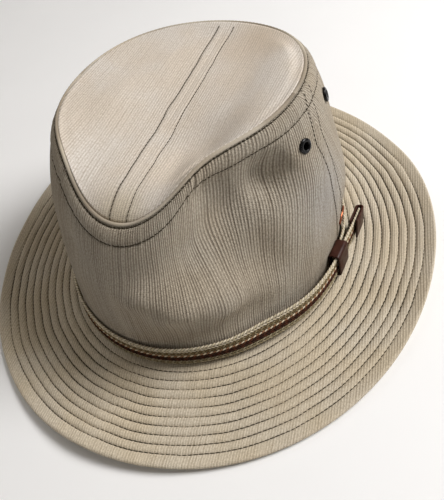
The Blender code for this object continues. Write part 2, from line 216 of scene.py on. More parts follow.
def wander(run, size, seed):
    """A line that strays softly about zero: four sine waves near one size, with seeded phases."""
    chance = np.random.default_rng(seed)
    waves = 2 * np.pi / (size * np.array([0.63, 0.87, 1.21, 1.73]))
    phases = chance.uniform(0, 2 * np.pi, 4)
    return np.sin(np.asarray(run)[..., None] * waves + phases).mean(-1) * 1.4


def sway(points, size, seed):
    """Soft unevenness in space: six plane waves of about one size, in seeded directions."""
    chance = np.random.default_rng(seed)
    waves = unit(chance.normal(size=(6, 3))) * 2 * np.pi / (size * chance.uniform(0.7, 1.5, (6, 1)))
    phases = chance.uniform(0, 2 * np.pi, 6)
    return np.sin(points @ waves.T + phases).mean(-1) * 1.6


# %% The brim, wall and tip as functions
def base_oval(angle):
    """Head opening: an ellipse, and the direction out of it in plan."""
    point = xyz(BASE_HALF_WIDTH * np.sin(angle), -BASE_HALF_LENGTH * np.cos(angle), 0.0)
    out = unit(xyz(BASE_HALF_LENGTH * np.sin(angle), -BASE_HALF_WIDTH * np.cos(angle), 0.0))
    return point, out


def oval_speed(angle):
    """Length round the head opening for one unit of angle."""
    return np.hypot(BASE_HALF_WIDTH * np.cos(angle), BASE_HALF_LENGTH * np.sin(angle))


def foot_share(angle):
    """Height of the crown's foot as a share of BRIM_WIDTH: a level tipped up towards one angle."""
    return FOOT_LEVEL + FOOT_LEAN * np.cos(angle - np.radians(FOOT_TOWARD))


def brim_point(angle, across, up):
    """Point of the brim: a parabola of height across the width, its length kept along the cloth."""
    near = foot_share(angle)
    middle = BRIM_MIDDLE + forms(BRIM_FORMS, 3, angle)
    edge = BRIM_EDGE + forms(BRIM_FORMS, 4, angle)
    slope = 4 * middle - 3 * near - edge
    curve = 2 * near + 2 * edge - 4 * middle
    share = np.clip(across / BRIM_WIDTH, 0.0, None)
    height = BRIM_WIDTH * (near + slope * share + curve * share**2)
    bent = slope**2 * share + 2 * slope * curve * share**2 + 4 / 3 * curve**2 * share**3
    point, out = base_oval(angle)
    reach = across - BRIM_WIDTH * bent / 2
    point = point + out * reach[..., None]
    point[..., 2] = np.maximum(height, 0.0) + up
    return point


def foot_height(angle):
    """Height of the brim's upper face where the side crown stands on it."""
    return BRIM_WIDTH * foot_share(angle) + BRIM_THICKNESS


MEAN_FOOT = BRIM_WIDTH * FOOT_LEVEL + BRIM_THICKNESS


def seam_point(angle):
    """Point of the seam between side crown and tip: an oval at one height, moved by the table of forms."""
    out = unit(xyz(TIP_HALF_LENGTH * np.sin(angle), -TIP_HALF_WIDTH * np.cos(angle), 0.0))
    move = TIP_HALF_WIDTH * forms(TIP_FORMS, 3, angle)
    height = MEAN_FOOT + CROWN_HEIGHT * (1 + forms(TIP_FORMS, 4, angle))
    point = xyz(TIP_HALF_WIDTH * np.sin(angle), TIP_SHIFT - TIP_HALF_LENGTH * np.cos(angle), height)
    return point + out * np.asarray(move)[..., None]


def dent(angle, share):
    """Sum of the soft bells of the table of dents, fading out towards the foot and the seam."""
    depth = 0.0
    for place, level, wide, tall, size in DENTS:
        depth = depth + size * bell(turn_from(place, angle), wide) * bell(share - level, tall)
    low, high = DENT_FADE
    return BASE_HALF_WIDTH * depth * fade(0.0, low, share) * fade(1.0, high, share)


def wall_point(angle, share):
    """Outer face of the side crown: a steady lean from the head oval, then a shoulder in to the seam."""
    angle, share = np.broadcast_arrays(angle, share)
    low, out = base_oval(angle)
    top = seam_point(angle)
    level = np.clip(share, 0.0, None)
    lean = LEAN_SHARE * level + (1 - LEAN_SHARE) * level ** around(EDGE_POWERS, 1, angle)
    point = low + (top - low) * lean[..., None] + out * dent(angle, share)[..., None]
    foot = foot_height(angle) + GAP
    point[..., 2] = foot + (top[..., 2] - foot) * share
    return point


def wall_frame(angle, share):
    """A point of the outer face with the directions along the braid, up the cloth and out of it."""
    step = 1e-4
    along = unit(wall_point(angle + step, share) - wall_point(angle - step, share))
    up = unit(wall_point(angle, share + step) - wall_point(angle, share - step))
    return wall_point(angle, share), along, up, unit(np.cross(along, up))


def on_wall(angle, height, off):
    """Point that lies a height above the wall's foot and a distance off its outer face."""
    tall = seam_point(angle)[..., 2] - foot_height(angle) - GAP
    point, _along, _up, out = wall_frame(angle, height / tall)
    return point + out * np.asarray(off)[..., None]


def tip_edge(angle):
    """Edge of the tip, tucked in behind the rolled seam."""
    ahead = seam_point(angle + 1e-4) - seam_point(angle - 1e-4)
    out = unit(xyz(ahead[..., 1], -ahead[..., 0], 0.0))
    return seam_point(angle) - out * (CROWN_WALL + BEAD_LIP + GAP)


def valley(back):
    """Height of the tip's lengthwise valley: a level that rises evenly backwards."""
    return MEAN_FOOT + VALLEY_HEIGHT + VALLEY_RISE * back / (2 * TIP_HALF_LENGTH)


def tip_point(angle, share):
    """Upper face of the tip: the valley, turned up or down to the seam all round by a power of the share."""
    edge = tip_edge(angle)
    point = xyz(edge[..., 0] * share, TIP_SHIFT + (edge[..., 1] - TIP_SHIFT) * share, 0.0)
    rise = edge[..., 2] - BEAD_PROUD - valley(edge[..., 1])
    point[..., 2] = valley(point[..., 1]) + rise * share ** around(EDGE_POWERS, 0, angle)
    return point


print("side crown stands", round(float(seam_point(0.0)[2]) * 1000), "mm high in front")

# %% [markdown]
# ## Camera and light
#
# The picture was taken from the wearer's left front, half way between level and straight down, with the
# camera turned a little about its own axis, so the hat leans to the left in it. The camera could be aimed
# at a target, but a tilt like this is easier to write as three angles. One soft lamp stands on the wearer's
# left and slightly behind, so that the crown throws its shadow over the right front of the brim. Two weak
# lamps and a faint warm sky fill that shadow.

# %% Camera
CAMERA_PLACE = (0.1582, -0.2197, 0.3082)
CAMERA_AZIMUTH = 35.76
CAMERA_ELEVATION = 48.17
CAMERA_ROLL = 15.02
LENS = 41.88
SENSOR = 36.0
SHIFT = (0.0235, -0.0283)


def show(name, data):
    """New object in the scene, unmoved."""
    made = bpy.data.objects.new(name, data)
    bpy.context.collection.objects.link(made)
    return made


def outward(azimuth, elevation):
    """Direction away from the hat, from an azimuth and an elevation in degrees."""
    turn, rise = np.radians(azimuth), np.radians(elevation)
    return np.array([np.sin(turn) * np.cos(rise), -np.cos(turn) * np.cos(rise), np.sin(rise)])


def aim(azimuth, elevation, roll, place):
    """Matrix of a camera or lamp that looks back along that direction, rolled about its own axis."""
    turn, roll = np.radians(azimuth), np.radians(roll)
    back = outward(azimuth, elevation)
    level = np.array([np.cos(turn), np.sin(turn), 0.0])
    upright = np.cross(back, level)
    right = level * np.cos(roll) - upright * np.sin(roll)
    up = upright * np.cos(roll) + level * np.sin(roll)
    return Matrix([[*row] for row in np.column_stack([right, up, back, place])] + [[0, 0, 0, 1]])


camera = show("camera", bpy.data.cameras.new("camera"))
camera.matrix_world = aim(CAMERA_AZIMUTH, CAMERA_ELEVATION, CAMERA_ROLL, CAMERA_PLACE)
camera.data.sensor_width = SENSOR
camera.data.lens = LENS
camera.data.shift_x, camera.data.shift_y = SHIFT
camera.data.clip_start = 0.01
bpy.context.scene.camera = camera
print("camera looks down by", CAMERA_ELEVATION, "degrees")

# %% Lamps and sky
LAMP_DISTANCE = 1.4
LAMP_CENTRE = (0, 0, 0.05)
LAMPS = [
    # name, azimuth, elevation, size, power, colour
    ("key_lamp", 120.0, 46.0, 0.60, 21.8, (1.0, 0.985, 0.975)),
    ("fill_lamp", 255.0, 58.0, 1.0, 2.6, (1.0, 0.94, 0.86)),
    ("front_lamp", 320.0, 45.0, 1.0, 1.2, (1.0, 0.92, 0.82)),
]
SKY = (1.0, 0.95, 0.89, 1.0)
SKY_STRENGTH = 0.07

for name, azimuth, elevation, size, power, color in LAMPS:
    lamp = show(name, bpy.data.lights.new(name, "AREA"))
    place = outward(azimuth, elevation) * LAMP_DISTANCE + LAMP_CENTRE
    lamp.matrix_world = aim(azimuth, elevation, 0.0, place)
    lamp.data.size = size
    lamp.data.energy = power
    lamp.data.color = color
world = bpy.data.worlds.new("studio")
world.use_nodes = True
sky = world.node_tree.nodes["Background"].inputs
sky["Color"].default_value = SKY
sky["Strength"].default_value = SKY_STRENGTH
bpy.context.scene.world = world
bpy.context.scene.view_settings.view_transform = "Standard"
print(len(LAMPS), "lamps and a faint sky")


# %% [markdown]
# ## Helpers for shaders and meshes
#
# Shader nodes could be placed by hand in the editor. A script reads better when one call adds a node, sets
# it and links it, so a few helpers do that. Meshes come from grids of points: numpy works out all the
# points at once and the faces join neighbours, closed round where the form is closed.

# %% Shader helpers
def wire(tree, kind, inputs, **settings):
    """Adds a shader node with its settings; sockets are linked to its inputs, plain values written."""
    made = tree.nodes.new("ShaderNode" + kind)
    for key, value in settings.items():
        setattr(made, key, value)
    for key, value in inputs.items():
        if isinstance(value, bpy.types.NodeSocket):
            tree.links.new(value, made.inputs[key])
        else:
            made.inputs[key].default_value = value
    return made


def calc(tree, operation, *values):
    """Output of one Math node."""
    return wire(tree, "Math", dict(enumerate(values)), operation=operation).outputs[0]


def times(tree, first, second):
    """Output of one multiplication."""
    return calc(tree, "MULTIPLY", first, second)


def mix(tree, share, first, second):
    """Output of one colour mix, of sockets or of plain colours."""
    first, second = ((*color, 1.0) if isinstance(color, tuple) else color for color in (first, second))
    return wire(tree, "Mix", {0: share, 6: first, 7: second}, data_type="RGBA").outputs[2]


def ramp(tree, value, low, high, start=0.0, end=1.0):
    """A value spread smoothly from one range to another."""
    limits = {"Value": value, "From Min": low, "From Max": high, "To Min": start, "To Max": end}
    return wire(tree, "MapRange", limits, interpolation_type="SMOOTHSTEP").outputs[0]


def here(tree):
    """Place on the object, in metres."""
    return wire(tree, "TexCoord", {}).outputs["Object"]


def cloth_map(tree):
    """Place on the flat map of the piece."""
    return wire(tree, "UVMap", {}, uv_map="cloth").outputs[0]


def cloud(tree, place, scale, detail=2.0, rough=0.5):
    """Soft noise at a place."""
    inputs = {"Vector": place, "Scale": scale, "Detail": detail, "Roughness": rough}
    return wire(tree, "TexNoise", inputs).outputs[0]


def flat_cloud(tree, x, y, detail, rough=0.5):
    """Soft noise over two values."""
    return cloud(tree, wire(tree, "CombineXYZ", {"X": x, "Y": y}).outputs[0], 1.0, detail, rough)


def group(name, inputs, outputs):
    """Empty shader node group with named inputs and plain values for outputs, and its two end nodes."""
    tree = bpy.data.node_groups.new(name, "ShaderNodeTree")
    for label, (kind, value) in inputs.items():
        socket = tree.interface.new_socket(label, in_out="INPUT", socket_type="NodeSocket" + kind)
        if value is not None:
            socket.default_value = value
    for label in outputs:
        tree.interface.new_socket(label, in_out="OUTPUT", socket_type="NodeSocketFloat")
    return tree, tree.nodes.new("NodeGroupInput").outputs, tree.nodes.new("NodeGroupOutput").inputs


def use(tree, made, inputs):
    """Outputs of a node group placed in a tree."""
    return wire(tree, "Group", inputs, node_tree=made).outputs


def material(name, roughness, **plain):
    """New material: its tree and its Principled shader, with plain numbers on the shader's own sockets."""
    made = bpy.data.materials.new(name)
    made.use_nodes = True
    shader = made.node_tree.nodes["Principled BSDF"]
    shader.inputs["Roughness"].default_value = roughness
    for key, value in plain.items():
        shader.inputs[key.replace("_", " ")].default_value = value
    return made, made.node_tree, shader


def paint(tree, shader, color):
    """Links a colour to the shader's base colour."""
    tree.links.new(color, shader.inputs["Base Color"])


def relief(tree, shader, height, distance, strength=1.0):
    """Bump from a height, linked to the shader's normal."""
    bump = wire(tree, "Bump", {"Height": height, "Distance": distance, "Strength": strength})
    tree.links.new(bump.outputs[0], shader.inputs["Normal"])


# %% Mesh helpers
def publish(name, points, quads, cloth, finish, threes=()):
    """Object from points, four-sided and three-sided faces and one flat map, smooth, riding on the hat."""
    quads = np.asarray(quads, int).reshape(-1, 4)
    threes = np.asarray(threes, int).reshape(-1, 3)
    loops = np.concatenate([quads.ravel(), threes.ravel()])
    sides = np.concatenate([np.full(len(quads), 4), np.full(len(threes), 3)])
    mesh = bpy.data.meshes.new(name)
    mesh.vertices.add(len(points))
    mesh.vertices.foreach_set("co", np.asarray(points, float).ravel())
    mesh.loops.add(len(loops))
    mesh.loops.foreach_set("vertex_index", loops)
    mesh.polygons.add(len(sides))
    mesh.polygons.foreach_set("loop_start", np.concatenate([[0], np.cumsum(sides)[:-1]]))
    mesh.polygons.foreach_set("loop_total", sides)
    mesh.update(calc_edges=True)
    if cloth is not None:
        spare = np.zeros((len(loops) - len(cloth), 2))
        mesh.uv_layers.new(name="cloth").data.foreach_set("uv", np.concatenate([cloth, spare]).ravel())
    mesh.shade_smooth()
    mesh.materials.append(finish)
    made = show(name, mesh)
    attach(made, "root")
    print(name, len(quads) * 2 + len(threes), "triangles")
    return made


def grid_quads(rows, columns, close_rows, close_columns):
    """Corner rows and columns of the faces of a grid, not yet wrapped round."""
    spans = np.arange(rows - (not close_rows)), np.arange(columns - (not close_columns))
    i, j = np.meshgrid(*spans, indexing="ij")
    return (np.stack(corners, -1).reshape(-1, 4) for corners in ([i, i, i + 1, i + 1], [j, j + 1, j + 1, j]))


def grid_object(
    name, points, cloth, finish, close_rows=False, close_columns=False, caps=False, second=None
):
    """Closed skin over a grid of points. With caps, its first and last rows are closed by fans of faces.

    The flat map has one more row or column than the points wherever the grid closes on itself. A second map,
    with the columns of faces that take it, lets two pieces of cloth meet at a seam.
    """
    rows, columns = points.shape[:2]
    row, column = grid_quads(rows, columns, close_rows, close_columns)
    quads = (row % rows) * columns + column % columns
    flat = points.reshape(-1, 3)
    threes = np.zeros((0, 3), int)
    if caps:
        ends = np.arange(columns)
        nexts = (ends + 1) % columns
        first = np.full(columns, len(flat))
        base = (rows - 1) * columns
        flat = np.concatenate([flat, [points[0].mean(0), points[-1].mean(0)]])
        fans = (nexts, ends, first), (base + ends, base + nexts, first + 1)
        threes = np.concatenate([np.stack(fan, -1) for fan in fans])
    a, b, c = (flat[quads[:, k]] for k in (0, 1, 2))
    if (np.cross(b, c) * a).sum() < 0:
        quads, row, column, threes = (faces[:, ::-1] for faces in (quads, row, column, threes))
    corners = cloth[row, column]
    if second is not None:
        other, takes = second
        corners = np.where(takes[column.min(1)][:, None, None], other[row, column], corners)
    return publish(name, flat, quads, corners.reshape(-1, 2), finish, threes)


def no_map(points):
    """Empty flat map for a grid whose finish needs none."""
    return np.zeros((points.shape[0] + 1, points.shape[1] + 1, 2))


# %% [markdown]
# ## Cloth
#
# The hat is cut from a cream cotton with slubs: thick and thin yarns that run one way and show as fine
# uneven stripes, grey-brown between cream. A picture of the cloth would blur or repeat. A node group draws
# it instead: a wave across the yarns, broken up by a noise that is stretched along them. The same group
# serves brim, wall and tip, each with its own depth of stripe, and a second group lays soft stains of
# warmer colour over it.

# %% Node group for slub cloth
slub, into, out_of = group(
    "slub_cloth",
    {
        "Cloth": ("Vector", None), "Pitch": ("Float", 0.0015),
        "Even": ("Float", 0.5), "Chance": ("Float", 0.45),
    },
    ("Stripe", "Height", "Grain"),
)
parts = wire(slub, "SeparateXYZ", {"Vector": into["Cloth"]}).outputs
yarn = calc(slub, "DIVIDE", parts["X"], into["Pitch"])
long_way = calc(slub, "DIVIDE", parts["Y"], into["Pitch"])
stray = flat_cloud(slub, times(slub, yarn, 0.10), times(slub, long_way, 0.02), 1.0)
shifted = calc(slub, "MULTIPLY_ADD", stray, 1.5, yarn)
number = calc(slub, "FLOOR", shifted)
groove = calc(slub, "SINE", times(slub, calc(slub, "FRACT", shifted), np.pi))
groove = calc(slub, "POWER", groove, 2.0)
chance = wire(slub, "TexWhiteNoise", {"W": number}, noise_dimensions="1D").outputs["Value"]
swell = flat_cloud(slub, times(slub, number, 7.3), times(slub, long_way, 0.10), 1.0)
uneven = times(slub, calc(slub, "SUBTRACT", chance, 0.5), into["Chance"])
uneven = calc(slub, "ADD", uneven, calc(slub, "MULTIPLY_ADD", swell, 0.5, -0.25))
strength = calc(slub, "ADD", into["Even"], uneven)
dark_yarn = wire(slub, "Clamp", {"Value": times(slub, strength, groove)}).outputs[0]
slub.links.new(dark_yarn, out_of["Stripe"])
grain = flat_cloud(slub, times(slub, yarn, 1.9), times(slub, long_way, 1.2), 2.0, 0.7)
slub.links.new(grain, out_of["Grain"])
pick = calc(slub, "MULTIPLY_ADD", long_way, 2 * np.pi * 1.9, times(slub, number, np.pi))
pick = calc(slub, "SINE", pick)
ridge = times(slub, groove, calc(slub, "MULTIPLY_ADD", strength, 0.6, 0.4))
round_yarn = calc(slub, "SUBTRACT", 1.0, ridge)
slub.links.new(calc(slub, "MULTIPLY_ADD", pick, 0.25, round_yarn), out_of["Height"])
print("slub cloth of", len(slub.nodes), "nodes")

# %% Node group for soft stains
stains, into, out_of = group(
    "stains", {"Place": ("Vector", None), "Size": ("Float", 0.03), "Edge": ("Float", 0.2)}, ("Mask",)
)
patches = cloud(stains, into["Place"], calc(stains, "DIVIDE", 1.0, into["Size"]))
low = calc(stains, "SUBTRACT", 0.5, into["Edge"])
high = calc(stains, "ADD", 0.5, into["Edge"])
stains.links.new(ramp(stains, patches, low, high), out_of["Mask"])
print("stains of", len(stains.nodes), "nodes")


# %% Cloth finishes
def cloth_finish(name, light, dark, warm, depth, even, chance, stain, rise, spots=()):
    """Slub cloth: light and dark yarns, warm stains, and soft spots: place, size, colour and strength."""
    made, tree, shader = material(name, 0.92, Sheen_Weight=0.05, Sheen_Roughness=0.6, Specular_IOR_Level=0.15)
    place = here(tree)
    yarns = use(tree, slub, {"Cloth": cloth_map(tree), "Even": even, "Chance": chance})
    mask = use(tree, stains, {"Place": place, "Size": 0.035, "Edge": 0.16})["Mask"]
    tint = mix(tree, times(tree, mask, stain), light, warm)
    for centre, size, color, amount in spots:
        away = wire(tree, "VectorMath", {0: place, 1: centre}, operation="DISTANCE").outputs["Value"]
        tint = mix(tree, ramp(tree, away, size, 0.0, 0.0, amount), tint, color)
    tint = mix(tree, ramp(tree, yarns["Grain"], 0.35, 0.70, 0.0, 0.5), tint, dark)
    paint(tree, shader, mix(tree, times(tree, yarns["Stripe"], depth), tint, dark))
    relief(tree, shader, calc(tree, "MULTIPLY_ADD", yarns["Grain"], 0.6, yarns["Height"]), rise, 0.8)
    return made


crown_cloth = cloth_finish(
    "crown_cloth_finish", (0.56, 0.500, 0.405), (0.135, 0.100, 0.068), (0.50, 0.415, 0.30),
    depth=0.95, even=0.55, chance=0.42, stain=0.5, rise=0.00060,
    spots=[((0.086, 0.000, 0.070), 0.040, (0.57, 0.55, 0.52), 0.85)],
)
tip_cloth = cloth_finish(
    "tip_cloth_finish", (0.80, 0.752, 0.690), (0.36, 0.29, 0.22), (0.76, 0.655, 0.53),
    depth=0.85, even=0.50, chance=0.22, stain=0.6, rise=0.00022,
    spots=[
        ((0.027, 0.062, 0.112), 0.034, (0.56, 0.44, 0.31), 0.75),
        ((0.0, -0.068, 0.100), 0.022, (0.68, 0.59, 0.40), 0.7),
    ],
)
brim_cloth = cloth_finish(
    "brim_cloth_finish", (0.72, 0.645, 0.52), (0.30, 0.235, 0.155), (0.67, 0.565, 0.40),
    depth=0.85, even=0.48, chance=0.30, stain=0.6, rise=0.00022,
)

# %% Thread finish
thread, tree, shader = material("thread_finish", 0.85, Specular_IOR_Level=0.15)
fuzz = cloud(tree, here(tree), 900.0)
paint(tree, shader, mix(tree, fuzz, (0.030, 0.024, 0.014), (0.075, 0.060, 0.036)))
relief(tree, shader, fuzz, 0.0001)
print("finishes so far:", len(bpy.data.materials))

# %% [markdown]
# ## Stitches
#
# Every seam of this hat shows a dark thread: ten rows round the brim, a row beside the rolled seam and one
# below it, two down each side and two along the tip. A texture of dashes would look printed on. Each stitch
# here is a small arched bead of thread, and all stitches of one piece are one mesh, made by a single array
# sum.

# %% Stitches as one mesh
THREAD_RADIUS = 0.00026
BEAD_REACH = np.array([-1.0, -0.72, 0.0, 0.72, 1.0])
BEAD_SWELL = np.array([0.30, 0.85, 1.0, 0.85, 0.30])


def stitch_beads(points, along, out, length, thick, tilt, rise):
    """Small arched beads of thread: rings of five points whose radius swells and whose middle is raised."""
    radius = THREAD_RADIUS * thick
    along = unit(along + unit(np.cross(along, out)) * tilt)
    side = np.cross(along, out)
    turn = circle(5)[:, None]
    middle = points[:, None] + along[:, None] * (BEAD_REACH * length / 2)[:, None]
    middle = middle + out[:, None] * (rise * (1 - BEAD_REACH**2) * radius)[:, None]
    spoke = side[:, None, None] * np.cos(turn) + out[:, None, None] * np.sin(turn)
    return middle[:, :, None] + spoke * (radius * BEAD_SWELL)[:, None, None]


def stitch_object(name, beads):
    """One mesh of many beads, each closed by a fan at both ends."""
    beads = np.concatenate(beads)
    count, rings, sides = beads.shape[:3]
    row, column = grid_quads(rings, sides, False, True)
    start = np.arange(count)[:, None, None] * rings * sides
    fan = np.array([[0, k + 1, k + 2] for k in range(sides - 2)])
    threes = np.concatenate([start + fan[:, ::-1], start + (rings - 1) * sides + fan], 1)
    quads = start + row * sides + column % sides
    return publish(name, beads.reshape(-1, 3), quads, None, thread, threes)


# %% [markdown]
# ## Brim
#
# The brim is two layers of cloth with a stiff filling, quilted by ten rows of stitches. Between the rows
# the filling lifts the cloth into round ribs. A bump map would leave the outline flat, so the ribs are
# real: lanes between the rows carry a rounded profile, and the rows themselves stray a little, as a
# hand-guided seam does.

# %% Ribs and rows of the brim
BRIM_AROUND = 512
RIB_LIFT = 0.00105
RIB_UNEVEN = 0.16
ROW_SINK = 0.00035
ROW_STRAY = 0.00022
LANE_CUTS = 9
MARGIN_CUTS = 12
EDGE_IN = 0.0016
EDGE_ROUND = 0.0012
EDGE_SWELL = 0.00055
EDGE_TURNS = (68, 45, 22, 0, -22, -45, -68)
UNDER_CUTS = 60
UNDER_RIB = 0.0004
BRIM_WAVE = 0.00035

# Ribs are lower where the left side rolls up: share lost, then angle and spread in radians
ROLLED_FLAT = (0.25, 1.75, 0.7)


def row_place(index, angle):
    """Distance of a row of stitches from the crown: its even place, and a soft stray along it."""
    stray = wander(angle, 0.35, 40) + 0.5 * wander(angle, 0.16, 41 + index)
    return ROW_FIRST + ROW_PITCH * index + ROW_STRAY * stray * fade(-1, 3, index)


def rib_lift(angle, share, index):
    """Height of a rib over its valleys: a round arch, uneven along it, with a sharp dip at each row."""
    lost, place, wide = ROLLED_FLAT
    uneven = 1 + RIB_UNEVEN * wander(angle, 0.13, 60 + index) - lost * bell(angle - place, wide)
    arch = np.sin(np.pi * share)
    return RIB_LIFT * uneven * arch**0.75 - ROW_SINK * (1 - arch) ** 4


def brim_top(angle, across, lift=0.0):
    """Upper face of the brim at a distance from the crown, raised by a lift."""
    return brim_point(angle, across, BRIM_THICKNESS + lift)


angle = circle(BRIM_AROUND)
inner = -CROWN_WALL - 2 * GAP
lanes = [np.full(BRIM_AROUND, inner), *(row_place(k, angle) for k in range(ROW_COUNT))]
rows = []
for k in range(ROW_COUNT):
    for share in (1 - np.cos(np.pi * np.arange(LANE_CUTS) / LANE_CUTS)) / 2:
        across = lanes[k] + (lanes[k + 1] - lanes[k]) * share
        rows.append(brim_top(angle, across, rib_lift(angle, share, k) if k else 0.0))
edge_roll = BRIM_WIDTH - EDGE_IN
for share in np.linspace(0, 1, MARGIN_CUTS):
    across = lanes[-1] + (edge_roll - lanes[-1]) * share
    rows.append(brim_top(angle, across, rib_lift(angle, 0.5 * share**0.7, ROW_COUNT) * 0.8))
for turn in np.radians(EDGE_TURNS):
    across = np.full(BRIM_AROUND, BRIM_WIDTH - EDGE_ROUND + EDGE_ROUND * np.cos(turn))
    rows.append(brim_point(angle, across, (BRIM_THICKNESS + EDGE_SWELL) / 2 * (1 + np.sin(turn))))
for share in np.linspace(0, 1, UNDER_CUTS):
    across = edge_roll + (inner - edge_roll) * share
    lane = (across - ROW_FIRST) / ROW_PITCH
    ribbed = np.sin(np.pi * (lane % 1.0)) ** 0.7 if across > ROW_FIRST else 1.0
    rows.append(brim_point(angle, np.full(BRIM_AROUND, across), UNDER_RIB * (1 - ribbed)))
points = np.array(rows)
points[..., 2] += BRIM_WAVE * sway(points, 0.05, 5) * fade(0.0008, 0.003, points[..., 2])

# %% Brim object with its own lengthwise cut of cloth
GRAIN = np.radians(12.0)


def planar(points, turn):
    """Flat map of cloth that lies level: distance across the yarns and along them."""
    x, y = points[..., 0], points[..., 1]
    return np.stack([x * np.cos(turn) + y * np.sin(turn), y * np.cos(turn) - x * np.sin(turn)], -1)


def wrapped(values):
    """A grid with its first column and its first row repeated at its ends."""
    values = np.concatenate([values, values[:, :1]], 1)
    return np.concatenate([values, values[:1]], 0)


brim = grid_object("brim_cloth", points, wrapped(planar(points, GRAIN)), brim_cloth, True, True)
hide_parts("brim")

# %% Stitches of the brim
BRIM_STITCH = 0.0030


def brim_row(index, share):
    """Point of a row of stitches, a share of the way round the brim."""
    angle = share * 2 * np.pi
    return brim_top(angle, row_place(index, angle), -ROW_SINK)


beads = []
for k in range(ROW_COUNT):
    share = np.linspace(0, 1, 2001)
    share, _place, run = spaced(brim_row(k, share), BRIM_STITCH, 0.0, share)
    point = brim_row(k, share)
    along = unit(brim_row(k, share + 2e-4) - brim_row(k, share - 2e-4))
    out = unit(np.cross(unit(point * (1, 1, 0)), along))
    out = out * np.sign(out[:, 2:])
    length = run[-1] / len(share) * 0.98
    beads.append(stitch_beads(point + out * THREAD_RADIUS * 0.4, along, out, length, 1.2, 0.08, 0.9))
stitch_object("brim_stitches", beads)

# %% [markdown]
# ## Side crown
#
# The side crown is a strip of the same cloth in two halves, front and back, with upright yarns, joined by a
# flat seam on each side of the head. Along the top its edge is turned in with the tip's, rolled, and
# stitched down twice: close to the roll and again 12 mm below, so a soft puffed band lies between the rows.
# The cloth could be a simulation, but the seams decide its folds, so they are worked out: heights over the
# plain wall, as functions of the distance down from the seam and of the place round the head.

# %% Distances along the wall
FALL_CUTS = 120


def fall_table(angle):
    """For each angle, the length along the cloth from the seam down to evenly spaced shares of the height."""
    shares = np.linspace(1.0, 0.0, FALL_CUTS + 1)
    line = wall_point(np.asarray(angle)[:, None], shares[None])
    steps = np.linalg.norm(np.diff(line, axis=1), axis=-1)
    return np.concatenate([np.zeros((len(line), 1)), np.cumsum(steps, 1)], 1)


def share_below(table, down):
    """Share of the wall's height at a distance below the seam, read off the table between its entries."""
    down = np.broadcast_to(down, np.broadcast_shapes(np.shape(down), table.shape[:1]))
    index = np.clip((table < down[..., None]).sum(-1) - 1, 0, FALL_CUTS - 1)
    grid = np.broadcast_to(table, (*down.shape, FALL_CUTS + 1))
    low = np.take_along_axis(grid, index[..., None], -1)[..., 0]
    high = np.take_along_axis(grid, index[..., None] + 1, -1)[..., 0]
    return 1.0 - (index + (down - low) / (high - low)) / FALL_CUTS


# %% Seams, band and puckers as heights over the plain wall
FIRST_ROW = 0.0025
SECOND_ROW = 0.0120
SIDE_SEAM_HALF = 0.0044
SIDE_SPEED = 0.93
AROUND_LENGTH = 0.530
FLARE = 0.181
FLARE_TOP = 0.402

# Heights of the puffed band and the flat seams, and how far their rows of stitches pull the cloth in
PUFF = 0.00080
FIRST_PULL = 0.00055
SECOND_PULL = 0.00045
FIRST_PUCKER = 0.00010
SECOND_PUCKER = 0.00022
SEAM_STEP = 0.00045
SEAM_PULL = 0.00035
SEAM_PUCKER = 0.00010
JOIN_PULL = 0.00025
WALL_WAVE = 0.0006

# Angle in degrees of the left side seam at shares of the height: nearly upright, bending back at the top
SEAM_SHARES = [0.0, 0.27, 0.78, 0.92, 1.0]
SEAM_ANGLES = [99.5, 97.0, 96.5, 101.0, 106.0]

# Where the second row and the yarns are drawn in beside the pinch: angle, spread in degrees, distance
ROW_DRAWN = (38, 11.0, 0.0032)
YARNS_DRAWN = [(34, 14.0, 0.0055), (76, 16.0, -0.0070)]

# Soft folds of the wall: name, angle, share of height, their spreads, and height as a share of FOLD_DEPTH
FOLD_DEPTH = 0.0050
SOFT_FOLDS = [
    ("pinch hollow", 36.0, 0.70, 15.0, 0.12, -1.7),
    ("front arm under the band", 53.0, 0.76, 11.0, 0.11, -1.7),
    ("back arm under the band", 71.0, 0.78, 10.0, 0.10, -2.6),
    ("front of the ridge", 9.0, 0.60, 12.0, 0.09, 1.2),
    ("middle of the ridge", 24.0, 0.48, 12.0, 0.09, 1.7),
    ("back of the ridge", 41.0, 0.38, 11.0, 0.09, 1.5),
    ("tail of the ridge", 55.0, 0.30, 10.0, 0.09, 0.7),
    ("crease behind the ridge", 60.0, 0.48, 7.0, 0.12, -0.3),
    ("swell behind the crease", 73.0, 0.42, 10.0, 0.14, 0.3),
    ("hollow below the ridge", 20.0, 0.24, 20.0, 0.09, -0.5),
    ("swell before the vent", 90.0, 0.62, 9.0, 0.14, 0.4),
    ("left back hollow", 150.0, 0.60, 15.0, 0.15, -0.4),
    ("back swell", 175.0, 0.35, 15.0, 0.10, 0.4),
    ("right back hollow", 210.0, 0.65, 15.0, 0.10, -0.5),
    ("right swell", 250.0, 0.45, 12.0, 0.10, 0.3),
    ("right hollow", 290.0, 0.75, 10.0, 0.10, -0.6),
    ("right front hollow", 335.0, 0.70, 10.0, 0.10, -0.5),
]
FLAT_SPOTS = [*VENTS, ("plate", BADGE_ANGLE, 0.22)]
FLAT_REACH = (0.0045, 0.0150)
FLAT_FOOT = (0.08, 0.20)

# Creases in the band at the pinch: angle in degrees, width in degrees and depth. They lean on their way down.
CREASES = [(41.5, 0.9, 0.0011), (36.5, 0.8, 0.0007), (47.0, 1.4, 0.0004), (322.0, 1.2, 0.0007)]
CREASE_LEAN = 260
CREASE_MIDDLE = 0.006


def second_row(angle):
    """Distance of the second row of stitches below the seam, less where the band is drawn in at the pinch."""
    place, wide, drawn = ROW_DRAWN
    return SECOND_ROW - drawn * bell(turn_from(place, angle), wide)


